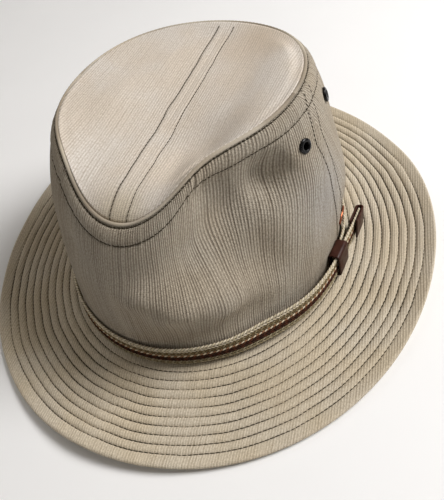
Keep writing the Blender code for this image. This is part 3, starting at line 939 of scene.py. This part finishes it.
def cut_cloth(angle, down, middle):
    """Place on a flat piece cut as part of a ring, yarns parallel to its middle, drawn in at the pinch."""
    turn = short_way(angle - middle) * FLARE
    drawn = sum(size * bell(np.degrees(angle) - place, wide) for place, wide, size in YARNS_DRAWN)
    reach = FLARE_TOP + down
    return np.stack([reach * np.sin(turn) + drawn * fade(0.085, 0.020, down), -reach * np.cos(turn)], -1)


def seam_angle(share, right):
    """Angle of a side seam at a share of the height; the right one mirrors the left, 2 degrees less."""
    place = np.interp(share, SEAM_SHARES, SEAM_ANGLES)
    return np.radians(360 - place - 2 if right else place)


def seam_distance(angle, share):
    """Distance along the cloth from the nearer side seam."""
    left = short_way(angle - seam_angle(share, False))
    right = short_way(angle - seam_angle(share, True))
    return np.where(np.abs(left) < np.abs(right), left, right) * (oval_speed(angle) * SIDE_SPEED)


def soft_folds(angle, share):
    """Sum of soft bells, flat at the braid and level round each metal piece."""
    height = 0.0
    for _name, place, level, wide, tall, size in SOFT_FOLDS:
        height = height + FOLD_DEPTH * size * bell(turn_from(place, angle), wide) * bell(share - level, tall)
    for _name, place, level in FLAT_SPOTS:
        centre = wall_point(np.float64(np.radians(place)), np.float64(level))
        near = np.linalg.norm(wall_point(angle, share) - centre, axis=-1)
        height = height * fade(*FLAT_REACH, near)
    return height * fade(*FLAT_FOOT, share)


def band_relief(angle, down):
    """Height of the band: its puff between the rows, the rows pulled in, small puckers and sharp creases."""
    run = angle * AROUND_LENGTH / (2 * np.pi)
    second = second_row(angle)
    between = np.clip((down - FIRST_ROW) / (second - FIRST_ROW), 0.0, 1.0)
    puff = PUFF * np.sin(np.pi * between) ** 0.65
    pull = -FIRST_PULL * bell(down - FIRST_ROW, 0.0008) - SECOND_PULL * bell(down - second, 0.0011)
    pucker = SECOND_PUCKER * wander(run, 0.0060, 7) * bell(down - second, 0.0050)
    pucker = pucker + FIRST_PUCKER * wander(run, 0.0042, 8) * bell(down - FIRST_ROW, 0.0035)
    for place, wide, deep in CREASES:
        turn = np.degrees(angle) - place + (down - CREASE_MIDDLE) * CREASE_LEAN
        pucker = pucker - deep * bell(turn, wide) * fade(0.0, 0.004, down) * fade(0.0150, 0.0100, down)
    return puff + pull + pucker


def side_relief(angle, share, down):
    """Height of the flat side seams: a low step, its two rows and its middle pulled in, and small puckers."""
    aside = np.abs(seam_distance(angle, share))
    row = aside - SIDE_SEAM_HALF
    step = SEAM_STEP * fade(SIDE_SEAM_HALF + 0.0012, SIDE_SEAM_HALF - 0.0002, aside)
    step = step - SEAM_PULL * bell(row, 0.0007) - JOIN_PULL * bell(aside, 0.0006)
    step = step + SEAM_PUCKER * wander(down, 0.007, 9) * bell(row, 0.002)
    return step * fade(FIRST_ROW - 0.001, FIRST_ROW + 0.001, down)


def wall_relief(angle, share, down):
    """Height of the finished cloth over the plain wall."""
    soft = WALL_WAVE * sway(wall_point(angle, share), 0.055, 12) * fade(0.012, 0.030, down)
    soft = soft * fade(0.0, 0.25, share)
    return band_relief(angle, down) + side_relief(angle, share, down) + soft + soft_folds(angle, share)


def wall_cloth(angle, share, down, off=0.0):
    """Point a distance off the finished cloth."""
    point, _along, _up, out = wall_frame(angle, share)
    return point + out * (wall_relief(angle, share, down) + off)[..., None]


# %% Side crown object
WALL_AROUND = 512
BAND_END = 0.0150
LOWER_CUTS = 66
INSIDE_CUTS = 40
ROLL_RADIUS = 0.00115
ROLL_CUTS = 12
ROLL_SCALLOPS = 190
ROLL_MAP = 0.02
BACK_CLOTH = 98.5

angle = circle(WALL_AROUND)
table = fall_table(angle)
whole = table[:, -1]
lower = [whole + (BAND_END - whole) * share for share in np.linspace(0, 1, LOWER_CUTS)[:-1]]
near_seam = [
    np.linspace(BAND_END, 0.0100, 11), np.linspace(0.0096, 0.0040, 10), np.linspace(0.0036, 0.0014, 7),
]
downs = np.array(lower + [np.full(WALL_AROUND, down) for down in np.concatenate(near_seam)])
shares = share_below(table, downs)
shares[0] = 0.0
outer = wall_cloth(np.broadcast_to(angle, downs.shape), shares, downs)

seam, _along, up, out = wall_frame(angle, np.ones(WALL_AROUND))
reach = ROLL_RADIUS * (1 + 0.08 * np.cos(angle * ROLL_SCALLOPS))
middle = -ROLL_RADIUS * 0.75
roll = []
for turn in np.radians(np.linspace(-35, 205, ROLL_CUTS)):
    aside, above = middle + reach * np.cos(turn), middle + reach * np.sin(turn)
    roll.append(seam + out * aside[:, None] + up * above[:, None])

inside = []
inner_shares = np.concatenate([[0.985], np.linspace(0.96, 0.0, INSIDE_CUTS)])
for share in inner_shares:
    level = np.full(WALL_AROUND, share)
    point, _along, _up, out = wall_frame(angle, level)
    point += out * soft_folds(angle, level)[:, None]
    point[:, :2] -= out[:, :2] * CROWN_WALL
    inside.append(point)
points = np.concatenate([outer, roll, inside])

# %% Cut of its cloth in two halves, and the object
inner_fall = (1 - inner_shares)[:, None] * whole
fallen = wrapped(np.concatenate([downs, np.zeros((ROLL_CUTS, WALL_AROUND)), inner_fall]))
turn = np.arange(WALL_AROUND + 1) * 2 * np.pi / WALL_AROUND
smooth = np.ones((len(fallen), 1, 1))
smooth[len(downs):len(downs) + ROLL_CUTS] = ROLL_MAP
front = cut_cloth(turn[None], fallen, 0.0) * smooth
back = cut_cloth(turn[None], fallen, np.pi) * smooth
middles = (np.arange(WALL_AROUND) + 0.5) * 2 * np.pi / WALL_AROUND
takes = np.abs(middles - np.pi) < np.pi - np.radians(BACK_CLOTH)
wall = grid_object(
    "side_crown_cloth", points, front, crown_cloth, True, True, second=(back, takes)
)
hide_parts("side_crown")

# %% Holes for the eyelets
HOLE_RADIUS = VENT_BARREL + 0.0002
HOLE_SIDES = 20
PUNCH_REACH = 0.008


def vent_place(degree, share, sides):
    """Middle of a vent on the wall, the direction out, and unit spokes round it."""
    point, _along, up, out = wall_frame(np.float64(np.radians(degree)), np.float64(share))
    turn = circle(sides)[:, None]
    return point, out, np.cos(turn) * np.cross(up, out) + np.sin(turn) * up


row, column = grid_quads(2, HOLE_SIDES, False, True)
sides = ((row % 2) * HOLE_SIDES + column % HOLE_SIDES)[:, ::-1].tolist()
sides += [list(range(HOLE_SIDES)), list(range(2 * HOLE_SIDES - 1, HOLE_SIDES - 1, -1))]
for _name, degree, share in VENTS:
    point, out, spoke = vent_place(degree, share, HOLE_SIDES)
    ends = np.concatenate([point + spoke * HOLE_RADIUS + out * off for off in (PUNCH_REACH, -PUNCH_REACH)])
    punch = bpy.data.meshes.new("punch")
    punch.from_pydata(ends.tolist(), [], sides)
    tool = show("punch", punch)
    cut = wall.modifiers.new("hole", "BOOLEAN")
    cut.object = tool
    cut.solver = "EXACT"
    bpy.context.view_layer.update()
    holed = bpy.data.meshes.new_from_object(wall.evaluated_get(bpy.context.evaluated_depsgraph_get()))
    wall.modifiers.clear()
    wall.data = holed
    bpy.data.objects.remove(tool)
print("side crown with its holes:", len(wall.data.polygons), "faces")

# %% Stitches of the side crown
CROWN_STITCH = 0.0024
STITCH_OFF = THREAD_RADIUS * 0.35

# Rows that run round the wall: distance below the seam, pitch, and thickness of thread as a share
ROUND_ROWS = [(lambda angle: FIRST_ROW, CROWN_STITCH, 1.35), (second_row, CROWN_STITCH * 1.05, 1.1)]


def round_frames(down, pitch):
    """Places for stitches that run round the wall at a distance below the seam."""
    fine = np.linspace(0, 2 * np.pi, 1441)
    fall = np.broadcast_to(down(fine), fine.shape)
    share = share_below(fall_table(fine), fall)
    line = wall_cloth(fine, share, fall)
    angle, place, run = spaced(line, pitch, 0.0, fine)
    share, fall = np.interp(angle, fine, share), np.interp(angle, fine, fall)
    ahead = [np.interp(place + 2e-4, run, axis) - np.interp(place - 2e-4, run, axis) for axis in line.T]
    _point, _along, _up, out = wall_frame(angle, share)
    point = wall_cloth(angle, share, fall, STITCH_OFF)
    return point, unit(np.stack(ahead, -1)), out, run[-1] / len(angle)


beads = []
for down, pitch, thick in ROUND_ROWS:
    point, along, out, pitch = round_frames(down, pitch)
    beads.append(stitch_beads(point, along, out, pitch * 0.96, thick, 0.14, 0.8))
for right in (False, True):
    for side in (-SIDE_SEAM_HALF, SIDE_SEAM_HALF):
        share = np.linspace(0.14, 0.985, 600)
        middle = seam_angle(share, right)
        angle = middle + side / (oval_speed(middle) * SIDE_SPEED)
        angle, place, run = spaced(wall_point(angle, share), CROWN_STITCH, 0.5, angle)
        share = np.interp(place, run, share)
        _point, _along, up, out = wall_frame(angle, share)
        point = wall_cloth(angle, share, run[-1] - place + 0.002, STITCH_OFF)
        beads.append(stitch_beads(point, up, out, CROWN_STITCH * 0.86, 0.75, 0.05, 0.8))
stitch_object("crown_stitches", beads)

# %% [markdown]
# ## Tip
#
# The tip is the top of the crown: two halves of cloth joined along the middle, the seam covered by a flat
# strip between two rows of thread. It is dished, and pressed in at the front. A fan of faces from the
# middle would be too fine at its centre and too coarse at its edge, so a square grid is bent into the
# outline instead, with its columns packed close along the strip.

# %% Form of the tip
STRIP_HALF = 0.0050
STRIP_STEP = 0.00040
STRIP_PULL = 0.00040
STRIP_JOIN = 0.00018
TIP_WAVE = 0.0007
TIP_FADE = 0.90

# Soft waves of the tip: name, place sideways and backwards with their spreads as shares of TIP_HALF_WIDTH and
# TIP_HALF_LENGTH, and height as a share of WAVE_HEIGHT
WAVE_HEIGHT = 0.0025
TIP_WAVES = [
    ("middle valley", 0.0, -0.30, 0.25, 0.60, -0.8),
    ("hollow at the pinch", 0.38, -0.38, 0.28, 0.28, -2.0),
    ("right panel swell", -0.60, 0.0, 0.25, 0.40, 1.0),
    ("right back swell", -0.35, 0.45, 0.20, 0.35, 0.5),
    ("left panel swell", 0.70, 0.0, 0.20, 0.35, 0.8),
    ("left back swell", 0.70, 0.55, 0.20, 0.35, 1.0),
]

# Bank beside the seam at the pinch: its height, its distance from the edge, and its spread
BANK_HEIGHT = 0.0030
BANK_ROOM = 0.0080
BANK_SPREAD = 0.0100


def strip_edge(back, side):
    """Sideways place of a row of stitches beside the middle seam, straying softly."""
    return side * STRIP_HALF + 0.0005 * wander(back, 0.045, 21) + 0.00015 * wander(back, 0.018, 22 + side)


def bank(x, y, room):
    """Height of the bank, by the direction from the tip's middle and the room that is left to the edge."""
    bearing = np.degrees(np.arctan2(x, -(y - TIP_SHIFT)))
    strong = bell(bearing - 36, 15.0) + 0.5 * bell(bearing - 62, 14.0)
    return BANK_HEIGHT * strong * bell(room - BANK_ROOM, BANK_SPREAD) * fade(0.0, BANK_ROOM, room)


def tip_relief(point, share):
    """Height of the finished tip over the plain one: the strip, its stitch rows, the waves and the bank."""
    x, y = point[..., 0], point[..., 1]
    waves = TIP_WAVE * sway(point, 0.060, 31)
    for _name, side, back, wide, long, size in TIP_WAVES:
        height = WAVE_HEIGHT * size * bell(x / TIP_HALF_WIDTH - side, wide)
        waves = waves + height * bell(y / TIP_HALF_LENGTH - back, long)
    left = x - strip_edge(y, 1)
    right = x - strip_edge(y, -1)
    strip = STRIP_STEP * fade(0.0010, -0.0002, left) * fade(-0.0010, 0.0002, right)
    rows = -STRIP_PULL * (bell(left, 0.0008) + bell(right, 0.0008))
    rows = rows - STRIP_JOIN * bell(left + STRIP_HALF, 0.0007)
    room = np.hypot(x, y - TIP_SHIFT) * (1 / np.maximum(share, 0.05) - 1)
    room = np.where(share > 0.1, room, TIP_HALF_WIDTH)
    return (strip + rows + waves) * fade(1.0, TIP_FADE, share) + bank(x, y, room)


def tip_at(x, y):
    """Point of the finished tip over a place in plan, found by its direction and distance from the middle."""
    angle = np.linspace(-np.pi, np.pi, 1440)
    edge = tip_edge(angle) - (0, TIP_SHIFT, 0)
    bearing = np.arctan2(edge[:, 0], -edge[:, 1])
    order = np.argsort(bearing)
    toward = np.arctan2(x, -(y - TIP_SHIFT))
    turn = np.interp(toward, bearing[order], angle[order])
    reach = np.interp(toward, bearing[order], np.hypot(edge[:, 0], edge[:, 1])[order])
    share = np.hypot(x, y - TIP_SHIFT) / reach
    point = tip_point(turn, share)
    point[..., 2] += tip_relief(point, share)
    return point


# %% Tip object
TUCK = 0.014
TIP_ROWS = 150
STRIP_COLUMNS = 41
PANEL_COLUMNS = 55


def packed(count_near, count_far, near):
    """Steps from -1 to 1, close together within a share of the middle."""
    far = np.linspace(near, 1, count_far + 1)[1:]
    return np.concatenate([-far[::-1], np.linspace(-near, near, count_near), far])


across, along = np.meshgrid(packed(STRIP_COLUMNS, PANEL_COLUMNS, 0.13), np.linspace(-1, 1, TIP_ROWS))
disc_x = across * np.sqrt(1 - along**2 / 2)
disc_y = along * np.sqrt(1 - across**2 / 2)
turn = np.arctan2(disc_x, -disc_y)
share = np.clip(np.hypot(disc_x, disc_y), 0.0, 1.0)
points = tip_point(turn, share * (1 + TUCK * fade(0.97, 1.0, share)))
points[..., 2] += tip_relief(points, share)
tip = grid_object("tip_cloth", points, planar(points, 0.0), tip_cloth)
thick = tip.modifiers.new("thickness", "SOLIDIFY")
thick.thickness = CROWN_WALL * 0.8
thick.offset = -1.0
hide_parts("tip")

# %% Stitches of the tip
STRIP_FRONT = -0.0765
STRIP_BACK = 0.0735
beads = []
for side in (-1, 1):
    back = np.linspace(STRIP_FRONT, STRIP_BACK, 800)
    back, _place, _run = spaced(tip_at(strip_edge(back, side), back), CROWN_STITCH, 0.5, back)
    point = tip_at(strip_edge(back, side), back)
    along = unit(tip_at(strip_edge(back + 1e-4, side), back + 1e-4) - point)
    out = unit(np.cross(np.broadcast_to((1.0, 0.0, 0.0), along.shape), along))
    point = point + out * THREAD_RADIUS * 0.7
    beads.append(stitch_beads(point, along, out, CROWN_STITCH * 0.94, 1.0, 0.06, 0.8))
stitch_object("tip_stitches", beads)

# %% [markdown]
# ## Braid
#
# The band is a flat braid of nine cords laid side by side: at the top a pair of cream cords twisted
# opposite ways, so that they show a herringbone, and below them khaki, orange-flecked, red-brown and grey
# ones. A flat strip with a picture of cords would have a smooth edge against the crown. Each cord is a
# two-lobed section turned as it runs along, which gives two real plies and the small shadows between them.
# The groove where the two plies meet also carries a painted shade, which deepens those shadows.

# %% The braid's own frame
BAND_FOOT = RIB_HEIGHT + LEATHER + 2 * GAP


def band_off(turn):
    """Distance from the wall to the braid's inner face, at an angle in degrees that runs on past 360."""
    under = LEATHER + GAP
    over = under + BAND_THICKNESS + BAND_CROWN + GAP
    run = turn - BAND_START
    start = under * (1 - fade(*BAND_SETTLE, run))
    lap = over * fade(*BAND_LIFT, run)
    free = np.clip((run - 360.0 - TAIL_HELD) / (BAND_LAP - TAIL_HELD), 0.0, None)
    return GAP + start + lap + BAND_FLARE * free**1.5


def band_frame(turn):
    """Foot of the braid on the wall, with the directions up and out."""
    angle = np.radians(turn)
    low = on_wall(angle, BAND_FOOT, 0.0)
    up = unit(on_wall(angle, BAND_FOOT + BAND_HEIGHT, 0.0) - low)
    _point, out = base_oval(angle)
    return low, up, unit(out - up * (out * up).sum(-1, keepdims=True))


def band_at(turn, off, height):
    """Point at a distance off the wall and a height over the braid's lower edge."""
    turn, off, height = np.broadcast_arrays(turn, off, height)
    low, up, out = band_frame(turn)
    return low + out * off[..., None] + up * height[..., None]


# %% Cord finishes
# Colours of a cord: first a painted shade for the groove where its two plies meet, then loose fibres
PLY_GROOVE_PAINTED_SHADE = (0.030, 0.020, 0.010)
CORD_FUZZ = (0.08, 0.06, 0.035)


def cord_finish(name, first, second, share):
    """Twisted cord: two plies that may differ in colour, darker where they meet, a painted shade in the
    groove.
    """
    made, tree, shader = material(name, 0.85, Specular_IOR_Level=0.15)
    parts = wire(tree, "SeparateXYZ", {"Vector": cloth_map(tree)}).outputs
    ply = calc(tree, "COSINE", times(tree, calc(tree, "SUBTRACT", parts["Y"], parts["X"]), 2 * np.pi))
    lobes = calc(tree, "ABSOLUTE", ply)
    fibre = times(tree, calc(tree, "MULTIPLY_ADD", parts["X"], 9.0, parts["Y"]), 2 * np.pi)
    fuzz = cloud(tree, here(tree), 700.0)
    color = mix(tree, ramp(tree, ply, -share, share), first, second)
    # Painted shade: the colour darkens in the groove between the two plies
    color = mix(tree, ramp(tree, lobes, 0.5, 0.0, 0.0, 0.85), color, PLY_GROOVE_PAINTED_SHADE)
    paint(tree, shader, mix(tree, ramp(tree, fuzz, 0.45, 0.75, 0.0, 0.35), color, CORD_FUZZ))
    relief(tree, shader, calc(tree, "ADD", calc(tree, "SINE", fibre), fuzz), 0.00008, 0.7)
    return made


cream_cord = cord_finish("cream_cord", (0.80, 0.71, 0.55), (0.66, 0.57, 0.40), 0.3)
khaki_cord = cord_finish("khaki_cord", (0.185, 0.135, 0.065), (0.31, 0.245, 0.140), 0.3)
orange_cord = cord_finish("orange_cord", (0.86, 0.73, 0.54), (0.40, 0.21, 0.110), 0.2)
brown_cord = cord_finish("brown_cord", (0.030, 0.009, 0.005), (0.075, 0.022, 0.010), 0.2)
grey_cord = cord_finish("grey_cord", (0.40, 0.34, 0.22), (0.29, 0.235, 0.135), 0.3)

# %% Cords of the braid
# Centre height as a share of the braid, radius, pitch of a full twist (its sign is the way of it), finish
CORDS = [
    ("top_cream", 0.935, 0.00098, 0.0044, cream_cord),
    ("second_cream", 0.815, 0.00088, -0.0044, cream_cord),
    ("khaki", 0.700, 0.00085, 0.0040, khaki_cord),
    ("lower_khaki", 0.600, 0.00075, -0.0040, khaki_cord),
    ("orange", 0.505, 0.00080, 0.0038, orange_cord),
    ("brown", 0.400, 0.00090, 0.0048, brown_cord),
    ("lower_brown", 0.290, 0.00090, -0.0048, brown_cord),
    ("grey", 0.180, 0.00085, 0.0042, grey_cord),
    ("lower_grey", 0.070, 0.00085, -0.0042, grey_cord),
]
CORD_SIDES = 8
CORD_CUTS = 1201
CORD_LOBES = 0.20

# Section of the strip behind the cords, as shares of the braid's thickness and height, and its turn of map
GROUND = [(0.25, 0.02), (0.25, 0.98), (0.55, 0.97), (0.55, 0.03)]
GROUND_PITCH = 0.004


def cord_map(turns, sides):
    """Flat map of a cord: turns of its twist along it, and the share of the way round it."""
    return np.stack(np.broadcast_arrays(turns[:, None], np.linspace(0, 1, sides + 1)[None]), -1)


end = BAND_START + 360.0 + BAND_LAP
turn = np.linspace(BAND_START + 0.3, end - 0.2, CORD_CUTS)
low, up, out = band_frame(turn)
line = low + out * band_off(turn)[:, None]
run = run_along(line)
side = circle(CORD_SIDES)
pieces = []
for name, level, radius, pitch, finish in CORDS:
    twist = 2 * np.pi * run / pitch
    reach = radius * (1 - CORD_LOBES + CORD_LOBES * np.cos(2 * (side[None] - twist[:, None])))
    middle = line + out * radius + up * (BAND_HEIGHT * level)
    points = middle[:, None] + out[:, None] * (reach * np.cos(side))[..., None]
    points = points + up[:, None] * (reach * np.sin(side))[..., None]
    flat = cord_map(run / pitch, CORD_SIDES)
    pieces.append(grid_object("braid_" + name, points, flat, finish, False, True, True))
corners = [line + out * (deep * BAND_THICKNESS) + up * (BAND_HEIGHT * level) for deep, level in GROUND]
flat = cord_map(run / GROUND_PITCH, len(GROUND))
grid_object("braid_ground", np.stack(corners, 1), flat, brown_cord, False, True, True)
for piece in pieces:
    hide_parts("hat_band")

# %% [markdown]
# ## Leather keeper and end cap
#
# A loop of dark brown leather holds both layers of the braid, and a folded scrap of it caps the free end.
# Both are straps of one thickness, so one function carries a rounded strap section along a path: round the
# braid for the keeper, out and back round the tail for the cap.

# %% Leather finish
skin, into, out_of = group(
    "leather_grain", {"Place": ("Vector", None), "Scale": ("Float", 900.0)}, ("Height", "Wear")
)
cells = wire(skin, "TexVoronoi", {"Vector": into["Place"], "Scale": into["Scale"]}).outputs["Distance"]
skin.links.new(ramp(skin, cells, 0.0, 0.55), out_of["Height"])
skin.links.new(ramp(skin, cloud(skin, into["Place"], 160.0, 3.0), 0.40, 0.70), out_of["Wear"])


def leather_finish(name, dark, light):
    """Satin leather: fine cells, and lighter worn patches."""
    made, tree, shader = material(name, 0.50, Specular_IOR_Level=0.18)
    hide = use(tree, skin, {"Place": here(tree), "Scale": 1100.0})
    paint(tree, shader, mix(tree, times(tree, hide["Wear"], 0.6), dark, light))
    tree.links.new(ramp(tree, hide["Wear"], 0.0, 1.0, 0.36, 0.52), shader.inputs["Roughness"])
    relief(tree, shader, hide["Height"], 0.00006, 0.6)
    return made


leather = leather_finish("leather_finish", (0.036, 0.011, 0.007), (0.065, 0.021, 0.013))
end_leather = leather_finish("end_leather_finish", (0.040, 0.012, 0.007), (0.072, 0.024, 0.014))


# %% Straps
def strap_section(width, thickness, corner, count=6):
    """Rounded rectangle: quarter circles at the corners, as places across the strap and through it."""
    turns = np.linspace(0, np.pi / 2, count)
    across, through = [], []
    for k, (sx, sy) in enumerate(((1, 1), (-1, 1), (-1, -1), (1, -1))):
        turn = turns + k * np.pi / 2
        across.append(sx * (width / 2 - corner) + corner * np.cos(turn))
        through.append(sy * (thickness / 2 - corner) + corner * np.sin(turn))
    return np.concatenate(across), np.concatenate(through)


def rounded_path(wide, tall, corner, count):
    """Closed rounded rectangle of a given size with evenly spaced points, and the direction out of it."""
    x, y = strap_section(wide, tall, corner, 12)
    x, y = np.append(x, x[0]), np.append(y, y[0])
    run = np.concatenate([[0], np.cumsum(np.hypot(np.diff(x), np.diff(y)))])
    place = np.arange(count) / count * run[-1]
    step = 1e-5

    def at(value):
        """Point a length along the path, which closes on itself."""
        value = value % run[-1]
        return np.interp(value, run, x), np.interp(value, run, y)

    ahead, behind = at(place + step), at(place - step)
    dx, dy = ahead[0] - behind[0], ahead[1] - behind[1]
    size = np.hypot(dx, dy)
    return *at(place), dy / size, -dx / size


def degrees_for(length, place):
    """Degrees round the head that a length along the braid takes at an angle in degrees."""
    return np.degrees(length / oval_speed(np.radians(place)))


# %% Keeper
STRAP_CORNER = 0.0005
LOOP_CORNER = 0.0016
LOOP_CUTS = 96
BULGE = 0.0004
inner_off = GAP + LEATHER / 2
outer_off = band_off(KEEPER_ANGLE + 360.0) + BAND_THICKNESS + BAND_CROWN + GAP + LEATHER / 2
lowest, highest = -GAP - LEATHER / 2, BAND_HEIGHT + GAP + LEATHER / 2
x, y, out_x, out_y = rounded_path(outer_off - inner_off, highest - lowest, LOOP_CORNER, LOOP_CUTS)
across, through = strap_section(KEEPER_WIDTH, LEATHER, STRAP_CORNER)
bulge = BULGE * np.cos(np.pi * across / KEEPER_WIDTH)
turn = KEEPER_ANGLE + degrees_for(across, KEEPER_ANGLE)
off = (inner_off + outer_off) / 2 + x[:, None] + out_x[:, None] * (through + bulge * (out_x[:, None] > 0.3))
height = (lowest + highest) / 2 + y[:, None] + out_y[:, None] * through
points = band_at(np.broadcast_to(turn, off.shape), off, height)
keeper = grid_object("keeper_leather", points, no_map(points), leather, True, True)
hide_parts("band_keeper")

# %% End cap
LEAF_CUTS = 24
FOLD_CUTS = 12
turns = np.linspace(end - degrees_for(END_WIDTH, end), end + degrees_for(GAP, end), LEAF_CUTS)
inner_leaf = band_off(turns) - GAP - LEATHER / 2
outer_leaf = band_off(turns) + BAND_THICKNESS + BAND_CROWN + GAP + LEATHER / 2
bend = np.linspace(np.pi / 2, -np.pi / 2, FOLD_CUTS)[1:-1]
middle = (inner_leaf[-1] + outer_leaf[-1]) / 2
half = (outer_leaf[-1] - inner_leaf[-1]) / 2
fold_turn = turns[-1] + degrees_for(half * 0.55, end) * np.cos(bend)
path_turn = np.concatenate([turns, fold_turn, turns[::-1]])
path_off = np.concatenate([outer_leaf, middle + half * np.sin(bend), inner_leaf[::-1]])
line = band_at(path_turn, path_off, 0.0 * path_off)
_low, up, _out = band_frame(path_turn)
normal = unit(np.cross(unit(np.gradient(line, axis=0)), up))
across, through = strap_section(BAND_HEIGHT + 4 * GAP, LEATHER, STRAP_CORNER)
height = BAND_HEIGHT / 2 + across
points = line[:, None] + up[:, None] * height[:, None] + normal[:, None] * through[:, None]
cap = grid_object("end_cap_leather", points, no_map(points), end_leather, False, True, True)
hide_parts("band_end")

# %% [markdown]
# ## Plate and vents
#
# A small copper-toned oval plate sits on the left side seam, and two blackened eyelets on each side let air
# in. All are turned or pressed metal. A plain cylinder would show no lip, so each is a profile swept round,
# with the rolled lip that catches the light.

# %% Metal finishes
def metal_finish(name, color, worn, roughness, metallic):
    """Polished metal with faint smears that change its colour and gloss."""
    made, tree, shader = material(name, roughness, Metallic=metallic)
    smear = cloud(tree, here(tree), 260.0, 3.0)
    paint(tree, shader, mix(tree, ramp(tree, smear, 0.4, 0.7), color, worn))
    tree.links.new(ramp(tree, smear, 0.3, 0.7, roughness * 0.8, roughness * 1.4), shader.inputs["Roughness"])
    return made


copper = metal_finish("copper_finish", (0.52, 0.18, 0.09), (0.38, 0.11, 0.055), 0.26, 1.0)
gunmetal = metal_finish("gunmetal_finish", (0.006, 0.006, 0.006), (0.011, 0.010, 0.010), 0.24, 0.6)

# %% Plate
PLATE_SIDES = 64
PLATE_SEAT = 1.5 * GAP

# Profile from the back over the rim to the middle: share of the plate's reach, and of its thickness
PLATE_PROFILE = [
    (0.15, 0.0), (0.6, 0.0), (0.92, 0.0), (0.98, 0.12), (1.0, 0.35), (0.985, 0.6),
    (0.94, 0.78), (0.84, 0.90), (0.70, 0.98), (0.5, 1.04), (0.3, 1.08), (0.12, 1.10),
]
level = BAND_FOOT + BAND_HEIGHT + LEATHER + BADGE_HEIGHT / 2 + 4 * GAP
reach = np.radians(degrees_for(BADGE_LENGTH, BADGE_ANGLE)) / 2
turn = circle(PLATE_SIDES)
rings = []
for share, rise in PLATE_PROFILE:
    angle = np.radians(BADGE_ANGLE) + share * reach * np.cos(turn)
    height = level + share * BADGE_HEIGHT / 2 * np.sin(turn)
    rings.append(on_wall(angle, height, np.full(PLATE_SIDES, PLATE_SEAT + rise * BADGE_THICKNESS)))
rings = np.array(rings)
plate = grid_object("side_plate", rings, no_map(rings), copper, False, True, True)
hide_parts("side_badge")

# %% Eyelets
VENT_SIDES = 48
VENT_TUCK = 0.0004
outside = 2 * GAP
inside = -CROWN_WALL - 2 * GAP
lip = VENT_HOLE * 1.12
flange = (VENT_RADIUS + VENT_BARREL) / 2

# Profile from the hole over the lip and back along the barrel to the flange: radius, height off the wall
profile = [
    (VENT_HOLE, inside - VENT_PROUD / 2),
    (VENT_HOLE, outside - 0.0002),
    (VENT_HOLE * 1.02, outside + 0.35 * VENT_PROUD),
    (lip, outside + 0.75 * VENT_PROUD),
    (lip * 1.12, outside + 0.97 * VENT_PROUD),
    (lip * 1.3, outside + VENT_PROUD),
    (lip * 1.5, outside + 0.92 * VENT_PROUD),
    (VENT_RADIUS * 0.93, outside + 0.6 * VENT_PROUD),
    (VENT_RADIUS, outside + 0.3 * VENT_PROUD),
    (VENT_RADIUS * 0.985, outside - VENT_TUCK),
    (VENT_BARREL, outside - VENT_TUCK),
    (VENT_BARREL, inside),
    (flange, inside),
    (flange, inside - VENT_PROUD / 2),
]
for name, degree, share in VENTS:
    point, out, spoke = vent_place(degree, share, VENT_SIDES)
    rings = np.array([point + spoke * radius + out * height for radius, height in profile])
    vent = grid_object(name + "_metal", rings, no_map(rings), gunmetal, True, True)
    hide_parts(name)

# %% [markdown]
# ## Floor
#
# The hat rests on a plain pale floor that turns up into a round wall far behind it, as in a studio. A flat
# floor alone would end in a dark horizon when the hat is looked at from the side.

# %% Floor
FLOOR_FLAT = 2.2
FLOOR_BEND = 1.0
FLOOR_TOP = 3.0
FLOOR_SIDES = 96
made, tree, shader = material("floor_finish", 0.7)
paint(tree, shader, mix(tree, cloud(tree, here(tree), 12.0), (0.90, 0.90, 0.90), (0.94, 0.94, 0.94)))
turn = circle(FLOOR_SIDES)
bend = np.linspace(0, np.pi / 2, 13)
reach = np.concatenate([[0.05, 0.6], FLOOR_FLAT + FLOOR_BEND * np.sin(bend), [FLOOR_FLAT + FLOOR_BEND]])
rise = np.concatenate([[0.0, 0.0], FLOOR_BEND * (1 - np.cos(bend)), [FLOOR_TOP]])
points = xyz(reach[:, None] * np.sin(turn), reach[:, None] * np.cos(turn), rise[:, None]).reshape(-1, 3)
row, column = grid_quads(len(reach), FLOOR_SIDES, False, True)
sides = (row * FLOOR_SIDES + column % FLOOR_SIDES)[:, ::-1]
mesh = bpy.data.meshes.new("floor")
mesh.from_pydata(points.tolist(), [], [list(range(FLOOR_SIDES))[::-1], *sides.tolist()])
mesh.shade_smooth()
mesh.materials.append(made)
floor = show("floor", mesh)
print("floor with", len(mesh.polygons), "faces")
